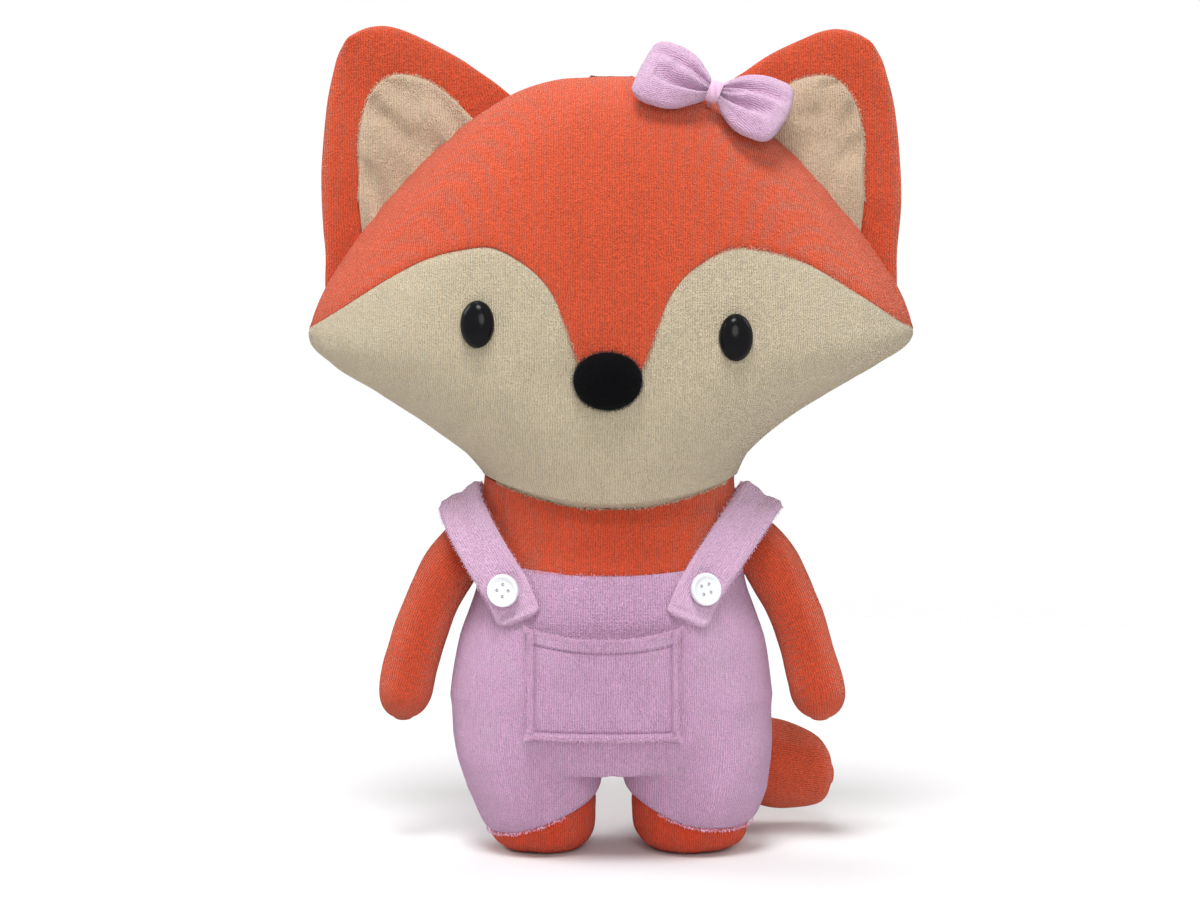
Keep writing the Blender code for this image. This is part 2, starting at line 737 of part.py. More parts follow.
def build_body(materials):
    around = spread(BODY_COLUMNS, 0.0, TAU)[:-1]
    rows = spread(4)
    outer = grid(chest_surface, rows, around)
    inner = grid(chest_surface, rows, around, CLOTH)
    keep_below_neck(outer[0])
    keep_below_neck(inner[0])
    for edge, lining in zip(outer[-1], inner[-1]):
        lining.z = edge.z
    chest = skin("chest_panel", outer, inner, materials["orange"], True)

    leg_around = spread(LEG_COLUMNS, 0.0, TAU)[:-1]
    hip_shares = spread(HIP_ROWS)
    crotch = Vector((0.0, 0.0, CROTCH_Z))
    waist = Vector((0.0, 0.0, WAIST_Z + 0.5 * WAIST_SIDE_RISE - 0.5 * GAP))
    hips = [[waist.copy() for _ in around]] + grid(hip_surface, hip_shares, around)
    hips.append([crotch.copy() for _ in around])
    trousers = solid("trousers", hips, materials["pink"])
    crotch.z += CLOTH
    hollow = grid(hip_hollow_surface, hip_shares, around, CLOTH)
    hollow.append([crotch.copy() for _ in around])
    hip_hollow = solid("hip_hollow", hollow, None)
    leg_hollows = []
    for side, word in ((1, "left"), (-1, "right")):
        rows = leg_rows(side, spread(LEG_ROWS), leg_around, LEG_TOP_Z, 0.5 * GAP, 0.0)
        cut(trousers, solid(word + "_leg_form", rows, None, True, True), "UNION")
        rows = leg_rows(side, spread(LEG_ROWS), leg_around, LEG_TOP_Z, -CUTTER_OVERRUN, CLOTH)
        leg_hollows.append(solid(word + "_leg_hollow", rows, None))
    for cutter in [hip_hollow] + leg_hollows:
        cut(trousers, cutter)

    inset = CLOTH + FILL_GAP
    wide = around[::2]
    crotch.z += FILL_GAP
    fill = grid(chest_surface, CHEST_FILL_SHARES, wide, inset)
    fill += grid(hip_hollow_surface, hip_shares, wide, inset)
    keep_below_neck(fill[0])
    fill = list(reversed(neck_cap(fill[0], -NECK_GAP))) + fill + [[crotch.copy() for _ in wide]]
    filling = solid("body_filling", fill, materials["fibre"])
    pieces = [chest, trousers, filling]
    for side, word in ((1, "left"), (-1, "right")):
        outer = foot_rows(side, leg_around, 0.0)
        inner = foot_rows(side, leg_around, CLOTH)
        foot = skin(word + "_foot", outer, inner, materials["orange"], True, True, False)
        pieces.append(foot)
        wide = leg_around[::2]
        rows = leg_rows(side, spread(LEG_ROWS), wide, LEG_TOP_Z, -CUTTER_OVERRUN, inset)[:-1]
        rows += foot_rows(side, wide, inset)
        cut(filling, solid(word + "_leg_filling", rows, None), "UNION")
    return pieces


# Arms

def arm_root_x():
    """The sewn end of an arm, just clear of the body's side."""
    low = body_level(body_position(SHOULDER_Z - ARM_ROOT_RADIUS))[1]
    return low + GAP


def arm_surface(side):
    table = ARM_SHARES + [(ARM_TIP_SHARE[0], ARM_TIP_SHARE[1], ARM_TIP_SHARE[0], ARM_TIP_SHARE[1], 0.0)]

    def surface(position, angle):
        out_x, out_z, in_x, in_z, depth_share = spline(table, position)
        half_x = 0.5 * (out_x - in_x) * ARM_REACH
        half_z = -0.5 * (out_z - in_z) * ARM_DROP
        x = arm_root_x() + 0.5 * (out_x + in_x) * ARM_REACH + half_x * math.cos(angle)
        z = SHOULDER_Z - 0.5 * (out_z + in_z) * ARM_DROP + half_z * math.cos(angle)
        y = -depth_share * ARM_HALF_DEPTH * math.sin(angle)
        return Vector((side * x, side * y, z))
    return surface


def build_arm(side, word, materials):
    surface = arm_surface(side)
    around = spread(LIMB_COLUMNS, 0.0, TAU)[:-1]
    rows = ARM_ROW_SHARES
    root = side * arm_root_x()

    def layer(depth, columns, chosen):
        points = grid(surface, chosen, columns, depth)
        for point in points[0]:
            point.x = root
        return points
    outer = layer(0.0, around, rows)
    inner = layer(CLOTH, around, rows)
    arm = skin(word + "_arm", outer, inner, materials["orange"], True, True, False)
    fill = layer(CLOTH + FILL_GAP, around[::2], rows)
    filling = solid(word + "_arm_filling", fill, materials["fibre"])
    return [arm, filling]


# Tail

def tail_root_y():
    """Depth of the tail's axis, its sewn end just clear of the trousers."""
    height_share, depth_share = TAIL_SHARES[0][1:]
    needed = 0.0
    for angle in spread(SEARCH_STEPS, 0.0, math.pi):
        z = TAIL_ROOT_Z + height_share * TAIL_HALF_HEIGHT * math.cos(angle)
        reach = depth_share * TAIL_HALF_DEPTH * math.sin(angle)
        needed = max(needed, reach - body_y(TAIL_ROOT_X, z))
    return needed + GAP


def tail_surface(position, angle):
    length_share, height_share, depth_share = spline(TAIL_SHARES, position)
    x = TAIL_ROOT_X + length_share * TAIL_LENGTH
    y = tail_root_y() - depth_share * TAIL_HALF_DEPTH * math.sin(angle)
    centre = TAIL_ROOT_Z - TAIL_DIP * max(length_share, 0.0)
    return Vector((x, y, centre + height_share * TAIL_HALF_HEIGHT * math.cos(angle)))


def build_tail(materials):
    around = spread(LIMB_COLUMNS, 0.0, TAU)[:-1]
    rows = TAIL_ROW_SHARES

    def layer(depth, columns, chosen):
        points = grid(tail_surface, chosen, columns, depth)
        for point in points[0]:
            point.x = TAIL_ROOT_X
        return points
    outer = layer(0.0, around, rows)
    inner = layer(CLOTH, around, rows)
    tail = skin("tail", outer, inner, materials["orange"], True, True, False)
    fill = layer(CLOTH + FILL_GAP, around[::2], rows)
    return [tail, solid("tail_filling", fill, materials["fibre"])]


# Ears

class EarFrame:
    """An ear's base line along the head's seam, and its own length and height directions."""

    def __init__(self, side):
        self.side = side
        self.near = self.seam_point(EAR_INNER_END_SHARE)
        far = self.seam_point(EAR_OUTER_END_SHARE)
        self.length = (far - self.near).length
        self.along = (far - self.near).normalized()
        self.up = Vector((-self.along.z, 0.0, self.along.x))
        if self.up.z < 0.0:
            self.up = -self.up
        self.base = []
        for position in spread(SEARCH_STEPS, EAR_INNER_END_SHARE, EAR_OUTER_END_SHARE):
            offset = self.seam_point(position) - self.near
            self.base.append((offset.dot(self.along), offset.dot(self.up)))
        self.bulge = max(height for _, height in self.base)

    def seam_point(self, position):
        width, height = head_level(position)[:2]
        return Vector((self.side * width, 0.0, height))

    def base_height(self, along):
        for (x0, y0), (x1, y1) in zip(self.base, self.base[1:]):
            if along <= x1:
                share = max((along - x0) / (x1 - x0), 0.0)
                return y0 + (y1 - y0) * share + 2.0 * GAP
        return self.base[-1][1] + 2.0 * GAP

    def point(self, along, depth, height):
        place = self.near + self.along * along + self.up * height
        return Vector((place.x, depth, place.z))

    def axis_point(self):
        return self.point(0.5 * self.length, 0.0, self.bulge + 2.0 * GAP + EAR_HALF_THICKNESS)


def ear_level(frame, share):
    """Centre, half-length and half-thickness of an ear at a height share."""
    near, far = spline(EAR_SHARES, find_position(EAR_SHARES, share))[1:]
    centre = 0.5 * (near + far) * frame.length
    half = 0.5 * (far - near) * frame.length
    return centre, half, EAR_HALF_THICKNESS * (1.0 - EAR_THINNING_SHARE * share)


def ear_height(frame, along, share, lift_share=1.0):
    lift = lift_share * EAR_HALF_THICKNESS * (1.0 - share)
    return frame.base_height(along) * (1.0 - share) + share * EAR_HEIGHT + lift


def build_ear(side, word, materials):
    frame = EarFrame(side)
    around = spread(EAR_COLUMNS, 0.0, TAU)[:-1]
    rows = []
    for turn in (90, 60, 30):
        lean = math.radians(turn)
        centre, half, thickness = ear_level(frame, 0.0)
        ring = []
        for angle in around:
            along = centre + half * math.cos(angle)
            depth = -thickness * math.cos(lean) * math.sin(angle)
            height = ear_height(frame, along, 0.0, 1.0 - math.sin(lean))
            ring.append(frame.point(along, depth, height))
        rows.append(ring)
    for share in EAR_ROW_SHARES:
        centre, half, thickness = ear_level(frame, share)
        if share == 1.0:
            half = thickness = 0.0
        ring = []
        for angle in around:
            along = centre + half * math.cos(angle)
            height = ear_height(frame, along, share)
            ring.append(frame.point(along, -thickness * math.sin(angle), height))
        rows.append(ring)
    ear = solid(word + "_ear", rows, materials["orange"])

    outer = []
    inner = []
    table = INNER_EAR_SHARES
    for position in spread(INNER_EAR_ROWS):
        share, near, far = spline(table, position)
        centre, half, thickness = ear_level(frame, share)
        back_row = []
        front_row = []
        for across in spread(INNER_EAR_COLUMNS, -1.0, 1.0):
            along = (0.5 * (near + far) + 0.5 * across * (far - near)) * frame.length
            height = ear_height(frame, along, share)
            inside = max(1.0 - ((along - centre) / half) ** 2, 0.0)
            depth = -thickness * math.sqrt(inside) - GAP
            puff = (1.0 - across ** 4) * (1.0 - position ** ROUND_POWER)
            back_row.append(frame.point(along, depth, height))
            front_row.append(frame.point(along, depth - 0.5 * CLOTH - puff * INNER_EAR_PUFF, height))
        inner.append(back_row)
        outer.append(front_row)
    patch = skin(word + "_inner_ear", outer, inner, materials["cream"], False, True, False)
    return [ear, patch], frame.axis_point()


# Eyes and nose

def on_face(x, z, lift):
    """A frame on the face, its Z straight out and its Y up."""
    normal = head_front_normal(x, z)
    spot = Vector((x, head_front_y(x, z) - 0.5 * GAP, z)) + normal * lift
    across = Vector((0.0, 0.0, 1.0)).cross(normal).normalized()
    up = normal.cross(across)
    turn = Matrix((across, up, normal)).transposed().to_4x4()
    return Matrix.Translation(spot) @ turn


def ring_at(half_x, half_y, height, sides):
    ring = []
    for side in range(sides):
        angle = TAU * side / sides
        ring.append(Vector((half_x * math.cos(angle), half_y * math.sin(angle), height)))
    return ring


def build_eye(word, x, z, face, filling, materials):
    sides = EYE_SIDES
    frame = on_face(x, z, GAP)
    rows = [ring_at(EYE_SHANK_RADIUS, EYE_SHANK_RADIUS, -EYE_SHANK_LENGTH, sides),
            ring_at(EYE_SHANK_RADIUS, EYE_SHANK_RADIUS, 0.0, sides)]
    for slope in EYE_SLOPES:
        rows.append(ring_at(EYE_HALF_WIDTH * math.cos(slope), EYE_HALF_HEIGHT * math.cos(slope),
                            EYE_DOME * math.sin(slope), sides))
    rows.append([Vector((0.0, 0.0, EYE_DOME)) for _ in range(sides)])
    eye = solid(word + "_eye", rows, materials["black"])
    eye.matrix_world = frame

    seat = -(GAP + CLOTH + WASHER_SEAT)
    bore = EYE_SHANK_RADIUS + GAP
    outer = [ring_at(WASHER_RADIUS, WASHER_RADIUS, height, sides) for height in
             (seat, seat - WASHER_THICKNESS)]
    inner = [ring_at(bore, bore, height, sides) for height in (seat, seat - WASHER_THICKNESS)]
    washer = skin(word + "_eye_washer", outer, inner, materials["black"], True)
    washer.matrix_world = frame

    spot = frame.translation
    axis = (frame.to_3x3() @ Vector((0.0, 0.0, 1.0))).normalized()
    cut(face, rod(word + "_shank_hole", spot, axis, bore, seat - CUTTER_OVERRUN, CUTTER_OVERRUN))
    deep = -(EYE_SHANK_LENGTH + FILL_GAP)
    pocket = rod(word + "_washer_pocket", spot, axis, WASHER_RADIUS + FILL_GAP, deep, CUTTER_OVERRUN)
    cut(filling, pocket)
    return [eye, washer]


def build_nose(materials):
    inner = []
    outer = []
    for reach in NOSE_RING_SHARES:
        back_row = []
        front_row = []
        for angle in spread(NOSE_COLUMNS, 0.0, TAU)[:-1]:
            x = NOSE_X + reach * NOSE_HALF_WIDTH * math.cos(angle)
            z = NOSE_Z + reach * NOSE_HALF_HEIGHT * math.sin(angle)
            y = head_front_y(x, z) - NOSE_GAP
            puff = NOSE_EDGE + NOSE_PUFF * math.sqrt(1.0 - reach ** 2)
            back_row.append(Vector((x, y, z)))
            front_row.append(Vector((x, y - puff, z)))
        inner.append(back_row)
        outer.append(front_row)
    return skin("nose", outer, inner, materials["black_velour"], True, True, False)


# Bow

def bow_frame():
    """A frame on the head for the bow, its Z outward, raised until the bow clears the head."""
    across = Vector((math.cos(BOW_TURN), 0.0, math.sin(BOW_TURN)))
    rise = Vector((-math.sin(BOW_TURN), 0.0, math.cos(BOW_TURN)))
    normal = rise * math.sin(BOW_LEAN) + Vector((0.0, -math.cos(BOW_LEAN), 0.0))
    spot = Vector((BOW_X, head_front_y(BOW_X, BOW_Z), BOW_Z))
    reach = 0.5 * BOW_WRAP_SPAN + BOW_LOOP_LENGTH
    lift = 0.0
    for along in spread(SEARCH_STEPS, -reach, reach):
        for high in spread(SEARCH_STEPS, -BOW_LOOP_HALF_HEIGHT, BOW_LOOP_HALF_HEIGHT):
            place = spot + across * along + rise * high
            if place.z < CROWN_Z - CLOTH:
                place.y = head_front_y(place.x, place.z)
                lift = max(lift, (place - spot).dot(normal))
    spot += normal * (lift + 2.0 * GAP)
    turn = Matrix((across, normal.cross(across), normal)).transposed().to_4x4()
    return Matrix.Translation(spot) @ turn


def bow_shank_length(frame):
    """Length of the thread shank from the middle of the wrap down to the head."""
    low, high = 0.0, BOW_LOOP_LENGTH
    for _ in range(HALVINGS):
        length = 0.5 * (low + high)
        tip = frame @ Vector((0.0, 0.0, BOW_LOOP_HALF_THICKNESS - length))
        if tip.y < head_front_y(tip.x, tip.z):
            low = length
        else:
            high = length
    return low - GAP - BOW_SHANK_RADIUS * BOW_SHANK_TILT_SHARE


def build_bow(materials):
    frame = bow_frame()
    loops = []
    start = 0.5 * BOW_WRAP_SPAN + GAP
    for side, word in ((1, "left"), (-1, "right")):
        rows = []
        for reach, swell in BOW_LOOP_SHARES:
            tall = BOW_NECK_HALF_HEIGHT + swell * (BOW_LOOP_HALF_HEIGHT - BOW_NECK_HALF_HEIGHT)
            thick = BOW_NECK_HALF_THICKNESS + swell * (BOW_LOOP_HALF_THICKNESS - BOW_NECK_HALF_THICKNESS)
            thick *= math.sqrt(1.0 - reach ** ROUND_POWER)
            ring = ring_at(tall, thick, 0.0, BOW_SIDES)
            along = side * (start + reach * BOW_LOOP_LENGTH)
            rows.append([Vector((along, point.x, point.y + BOW_LOOP_HALF_THICKNESS)) for point in ring])
        end = side * (start + BOW_LOOP_LENGTH)
        rows.append([Vector((end, 0.0, BOW_LOOP_HALF_THICKNESS)) for _ in range(BOW_SIDES)])
        loop = solid("bow_" + word + "_loop", rows, materials["pink"])
        loop.matrix_world = frame
        loops.append(loop)
    rows = []
    for reach in BOW_WRAP_SHARES:
        swell = BOW_WRAP_RADIUS * math.sqrt(1.0 - BOW_WRAP_ROUND_SHARE * reach ** 2)
        ring = ring_at(BOW_NECK_HALF_HEIGHT + swell, BOW_NECK_HALF_THICKNESS + swell, 0.0, BOW_SIDES)
        along = 0.5 * reach * BOW_WRAP_SPAN
        rows.append([Vector((along, point.x, point.y + BOW_LOOP_HALF_THICKNESS)) for point in ring])
    wrap = solid("bow_wrap", rows, materials["white"])
    wrap.matrix_world = frame
    middle = Vector((0.0, 0.0, BOW_LOOP_HALF_THICKNESS))
    axis = Vector((0.0, 0.0, 1.0))
    shank = rod("bow_shank", middle, axis, BOW_SHANK_RADIUS, -bow_shank_length(frame), 0.0, HOLE_SIDES)
    shank.matrix_world = frame
    cut(wrap, shank, "UNION")
    return loops + [wrap]


# Straps, buttons and pocket

def strap_centre(turn, side):
    """The strap's middle line and outward direction, front to back.

    It goes over the shoulder from turn 0 to half a turn, with a straight tail past each end.
    """
    tail = max(-turn, turn - math.pi, 0.0)
    turn = min(max(turn, 0.0), math.pi)
    rise = max(math.sin(turn), 0.0)
    front = math.cos(turn)
    y_front = body_y(STRAP_BUTTON_X, STRAP_BUTTON_Z, STRAP_LIFT)
    x = STRAP_BUTTON_X + (STRAP_TOP_X - STRAP_BUTTON_X) * rise
    z = STRAP_BUTTON_Z + (STRAP_TOP_Z - STRAP_BUTTON_Z) * rise
    shift = TRIM_X * max(front, 0.0)
    normal = Vector((side * math.sin(STRAP_LEAN) * rise, -front, math.cos(STRAP_LEAN) * rise))
    spot = Vector((side * x + shift, y_front * front, z))
    spot += Vector((-side * STRAP_SLANT_SHARE, 0.0, -1.0)) * (STRAP_TAIL * tail)
    return spot, normal.normalized()


def body_reach(point, clearance):
    """How far out a point is, with 1 on the body's form."""
    if point.z > BODY_TOP_Z:
        return 1.0
    width, depth = body_level(body_position(point.z))[1:]
    return math.hypot(point.x / (width + clearance), point.y / (depth + clearance))


def clear_of_body(point, normal, clearance):
    """Push a point out of the body's form along a direction."""
    if body_reach(point, clearance) >= 1.0:
        return point
    low, high = 0.0, BELLY_DEPTH
    for _ in range(HALVINGS):
        middle = 0.5 * (low + high)
        if body_reach(point + normal * middle, clearance) < 1.0:
            low = middle
        else:
            high = middle
    return point + normal * high


def strap_rows(side, lift):
    """Rows across a strap from its front tail over the shoulder to its back tail."""
    turns = [-1.0, -0.5] + spread(STRAP_ROWS, 0.0, math.pi) + [math.pi + 0.5, math.pi + 1.0]
    middles = [strap_centre(turn, side) for turn in turns]
    rows = []
    for index, (spot, normal) in enumerate(middles):
        before = middles[max(index - 1, 0)][0]
        after = middles[min(index + 1, len(middles) - 1)][0]
        across = (after - before).normalized().cross(normal).normalized()
        row = []
        for share in spread(4, -0.5, 0.5):
            point = spot + across * (share * STRAP_WIDTH)
            point = clear_of_body(point, normal, STRAP_LIFT)
            row.append(point + normal * lift)
        rows.append(row)
    return rows


def build_strap(side, word, materials):
    inner = strap_rows(side, 0.0)
    outer = strap_rows(side, CLOTH)
    return skin(word + "_strap", outer, inner, materials["pink"], False)


def strap_heights(rows, spot, normal):
    """Heights over a plane of the strap's surface under the button."""
    heights = []
    for upper, lower in zip(rows, rows[1:]):
        for column in range(len(upper) - 1):
            for down in spread(SEAT_SAMPLES):
                left = upper[column].lerp(lower[column], down)
                right = upper[column + 1].lerp(lower[column + 1], down)
                for across in spread(SEAT_SAMPLES):
                    away = left.lerp(right, across) - spot
                    height = away.dot(normal)
                    if (away - normal * height).length <= BUTTON_RADIUS:
                        heights.append(height)
    return heights


def build_button(side, word, materials):
    spot = strap_centre(0.0, side)[0]
    under = strap_rows(side, CLOTH)[:STRAP_TAIL_ROWS]
    along = under[-1][2] - under[0][2]
    across = under[1][-1] - under[1][0]
    normal = along.cross(across).normalized()
    normal = normal if normal.y < 0.0 else -normal
    reach = max(strap_heights(under, spot, normal))
    rows = [ring_at(BUTTON_RADIUS * wide, BUTTON_RADIUS * wide, BUTTON_THICKNESS * high, BUTTON_SIDES)
            for wide, high in BUTTON_RIM_SHARES]
    dish = BUTTON_THICKNESS - BUTTON_DISH
    floor = BUTTON_DISH_SHARE * BUTTON_RADIUS
    rows.append(ring_at(floor, floor, dish, BUTTON_SIDES))
    button = solid(word + "_button", rows, materials["white"])
    turn = normal.to_track_quat("Z", "Y").to_matrix().to_4x4()
    frame = Matrix.Translation(spot + normal * (reach + GAP)) @ turn
    button.matrix_world = frame
    for column in (-0.5, 0.5):
        for row in (-0.5, 0.5):
            offset = Vector((column * BUTTON_HOLE_SPACING, row * BUTTON_HOLE_SPACING, 0.0))
            name = word + "_button_hole_" + str(int(2 + column * 2 + row))
            hole = rod(name, frame @ offset, frame.to_3x3() @ Vector((0.0, 0.0, 1.0)),
                       BUTTON_HOLE_RADIUS, -CUTTER_OVERRUN, BUTTON_THICKNESS + CUTTER_OVERRUN, HOLE_SIDES)
            cut(button, hole)
    return button


def pocket_point(across, up, lift):
    """A point of the pocket; it is sewn down at three sides and gapes at its mouth."""
    x = TRIM_X + across * POCKET_HALF_WIDTH
    sag = POCKET_SAG * up ** 2 * (1.0 - across ** 2)
    z = POCKET_BOTTOM_Z + up * (POCKET_TOP_Z - POCKET_BOTTOM_Z) - sag
    gape = POCKET_GAPE * up ** GAPE_POWER * (1.0 - across ** 2)
    return Vector((x, body_y(x, z) - 2.0 * GAP - gape - lift, z))


def build_pocket(materials):
    layers = []
    for lift in (CLOTH, 0.0):
        layers.append([[pocket_point(across, up, lift) for across in spread(POCKET_COLUMNS, -1.0, 1.0)]
                       for up in spread(POCKET_ROWS)])
    return skin("pocket", layers[0], layers[1], materials["pink"], False)


def hang(pieces, name, place):
    """Hang pieces on an empty that stands on their joint's axis."""
    pivot = bpy.data.objects.new(name, None)
    bpy.context.scene.collection.objects.link(pivot)
    pivot.matrix_world = Matrix.Translation(place)
    for piece in pieces:
        piece.parent = pivot
        piece.matrix_parent_inverse = pivot.matrix_world.inverted()
    return pivot


def run():
    clear_scene()
    materials = {
        "orange": material("orange_velour", ORANGE, CLOTH_ROUGHNESS),
        "cream": material("cream_velour", CREAM, CLOTH_ROUGHNESS),
        "pink": material("pink_velour", PINK, CLOTH_ROUGHNESS),
        "black_velour": material("black_velour", BLACK, CLOTH_ROUGHNESS),
        "black": material("black_plastic", BLACK, PLASTIC_ROUGHNESS),
        "white": material("white_plastic", WHITE, BUTTON_ROUGHNESS),
        "fibre": material("fibre", FIBRE, 1.0),
    }
    head = build_head(materials)
    face, head_filling = head[1], head[3]
    head += build_eye("left", EYE_LEFT_X, EYE_LEFT_Z, face, head_filling, materials)
    head += build_eye("right", -EYE_RIGHT_X, EYE_RIGHT_Z, face, head_filling, materials)
    head.append(build_nose(materials))
    head += build_bow(materials)
    neck = hang(head, "neck_axis", Vector((0.0, 0.0, NECK_Z)))
    build_body(materials)
    for side, word in ((1, "left"), (-1, "right")):
        ear, place = build_ear(side, word, materials)
        ear_axis = hang(ear, word + "_ear_axis", place)
        ear_axis.parent = neck
        ear_axis.matrix_parent_inverse = neck.matrix_world.inverted()
        arm = build_arm(side, word, materials)
        hang(arm, word + "_shoulder_axis", Vector((side * arm_root_x(), 0.0, SHOULDER_Z)))
        build_strap(side, word, materials)
        build_button(side, word, materials)
    tail = build_tail(materials)
    hang(tail, "tail_axis", Vector((TAIL_ROOT_X, tail_root_y(), TAIL_ROOT_Z)))
    build_pocket(materials)


run()
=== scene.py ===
# The plush fox: velour panels, stitching, buttons, eyes and the studio around it.
# Metres, +Z up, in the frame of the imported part. The fox faces -Y, its left is +X.

import json
import math
from functools import lru_cache

import bmesh
import bpy
import numpy as np
from mathutils import Matrix, Vector, noise

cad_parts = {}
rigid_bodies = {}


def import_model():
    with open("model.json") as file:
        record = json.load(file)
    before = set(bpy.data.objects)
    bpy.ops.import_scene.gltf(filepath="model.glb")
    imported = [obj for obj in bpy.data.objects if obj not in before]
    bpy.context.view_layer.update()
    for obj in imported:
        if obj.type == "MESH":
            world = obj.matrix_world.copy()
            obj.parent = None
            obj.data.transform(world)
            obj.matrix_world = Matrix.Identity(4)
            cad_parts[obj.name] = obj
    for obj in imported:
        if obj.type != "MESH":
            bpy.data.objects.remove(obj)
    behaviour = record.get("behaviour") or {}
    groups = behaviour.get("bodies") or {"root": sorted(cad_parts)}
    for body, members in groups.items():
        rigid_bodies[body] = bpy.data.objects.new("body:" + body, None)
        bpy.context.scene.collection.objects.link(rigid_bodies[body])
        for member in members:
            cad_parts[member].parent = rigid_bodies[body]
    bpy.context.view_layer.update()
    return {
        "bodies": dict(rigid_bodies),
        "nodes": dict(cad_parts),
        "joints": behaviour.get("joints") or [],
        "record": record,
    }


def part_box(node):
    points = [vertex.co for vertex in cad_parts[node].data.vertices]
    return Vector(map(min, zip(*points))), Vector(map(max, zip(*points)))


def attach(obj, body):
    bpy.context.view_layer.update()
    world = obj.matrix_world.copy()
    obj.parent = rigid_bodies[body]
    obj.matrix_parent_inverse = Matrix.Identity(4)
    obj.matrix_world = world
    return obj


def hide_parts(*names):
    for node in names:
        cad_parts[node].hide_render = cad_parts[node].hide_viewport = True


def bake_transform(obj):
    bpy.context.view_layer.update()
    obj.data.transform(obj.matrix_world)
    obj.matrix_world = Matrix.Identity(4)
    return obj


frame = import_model()

# The part's own sizes

# Cloth and clearances
GAP = 0.0003              # between pieces that are sewn or pressed together
CLOTH = 0.0015            # velour skin with its backing

# Head
HEAD_HALF_WIDTH = 0.1087
CROWN_Z = 0.2793
CHEEK_Z = 0.1872
HEAD_FRONT_DEPTH = 0.050
HEAD_BACK_DEPTH = 0.047

# Neck, a dish that the head turns in: flat in the middle, then a rising cone
NECK_Z = 0.1272
NECK_GAP = 0.0008         # for the head to turn over the facets of the dish
NECK_FLAT_RADIUS = 0.028
NECK_SLOPE_SHARE = 0.55
HEAD_CHIN_DEPTH = 0.033

# Ears
EAR_HEIGHT = 0.0572
EAR_HALF_THICKNESS = 0.0046
EAR_INNER_END_SHARE = 0.167
EAR_OUTER_END_SHARE = 0.455
INNER_EAR_PUFF = 0.0016

# Eyes and nose
EYE_HALF_WIDTH = 0.0060
EYE_HALF_HEIGHT = 0.0083
EYE_DOME = 0.0046
EYE_RIGHT_X = 0.0466
EYE_RIGHT_Z = 0.1940
EYE_LEFT_X = 0.0430
EYE_LEFT_Z = 0.1895
NOSE_X = -0.0014
NOSE_Z = 0.1744
NOSE_HALF_WIDTH = 0.0126
NOSE_HALF_HEIGHT = 0.0101
NOSE_PUFF = 0.0068
NOSE_EDGE = 0.0006

# Bow
BOW_X = 0.0340
BOW_Z = 0.2685
BOW_TURN = math.radians(-19)
BOW_LEAN = math.radians(35)
BOW_LOOP_LENGTH = 0.0256
BOW_LOOP_HALF_HEIGHT = 0.0134
BOW_LOOP_HALF_THICKNESS = 0.0052
BOW_NECK_HALF_HEIGHT = 0.0030
BOW_NECK_HALF_THICKNESS = 0.0026
BOW_WRAP_RADIUS = 0.0009
BOW_WRAP_SPAN = 0.0044

# Body
HIP_HALF_WIDTH = 0.0585
BELLY_DEPTH = 0.0380
BODY_TOP_Z = 0.1370
WAIST_Z = 0.1040
WAIST_SIDE_RISE = 0.0025
CROTCH_Z = 0.0275

# Legs and feet
LEG_TOP_Z = 0.0560
LEG_SPREAD = 0.0296
LEG_HALF_WIDTH = 0.0270
LEG_HALF_DEPTH = 0.0310
CUFF_OUTER_Z = 0.0080
CUFF_RISE = 0.0160
CUFF_CURVE_SHARE = 1.6
FOOT_CORNER = 0.0130
SOLE_CUT = 0.0005

# Arms
SHOULDER_SHARE = 0.814     # of the body's height, where the arms are sewn on
ARM_ROOT_RADIUS = 0.0120
ARM_HALF_DEPTH = 0.0092
ARM_REACH = 0.0372
ARM_DROP = 0.0644

SHOULDER_Z = SHOULDER_SHARE * BODY_TOP_Z

# Tail
TAIL_ROOT_X = 0.0060
TAIL_ROOT_Z = 0.0340
TAIL_LENGTH = 0.0780
TAIL_HALF_HEIGHT = 0.0168
TAIL_HALF_DEPTH = 0.0113
TAIL_DIP = 0.0150

# Dungaree trim
TRIM_X = -0.0030          # the straps and pocket sit a little off the centre
STRAP_WIDTH = 0.0165
STRAP_BUTTON_X = 0.0340
STRAP_BUTTON_Z = 0.0980
STRAP_TAIL = 0.0105
STRAP_SLANT_SHARE = 0.45   # how far a tail runs inward, per height
STRAP_TOP_X = 0.0543
STRAP_TOP_Z = 0.1290
STRAP_LEAN = math.radians(32)
STRAP_LIFT = 0.0005
BUTTON_RADIUS = 0.0059
BUTTON_THICKNESS = 0.0022
BUTTON_HOLE_RADIUS = 0.00075
BUTTON_HOLE_SPACING = 0.0030
POCKET_HALF_WIDTH = 0.0268
POCKET_TOP_Z = 0.0856
POCKET_BOTTOM_Z = 0.0462
POCKET_GAPE = 0.0068
POCKET_SAG = 0.0026

# Head outline, crown to neck: half-width, then height above (+) or below (-) the cheeks
HEAD_OUTLINE_SHARES = [
    (0.0, 1.0), (0.09, 0.999), (0.20, 0.986), (0.32, 0.936), (0.45, 0.839),
    (0.553, 0.747), (0.656, 0.635), (0.755, 0.500), (0.879, 0.300),
    (0.945, 0.180), (0.985, 0.070), (1.0, -0.005), (0.972, -0.078),
    (0.888, -0.163), (0.809, -0.230), (0.707, -0.304), (0.598, -0.383),
    (0.485, -0.473), (0.432, -0.538),
]

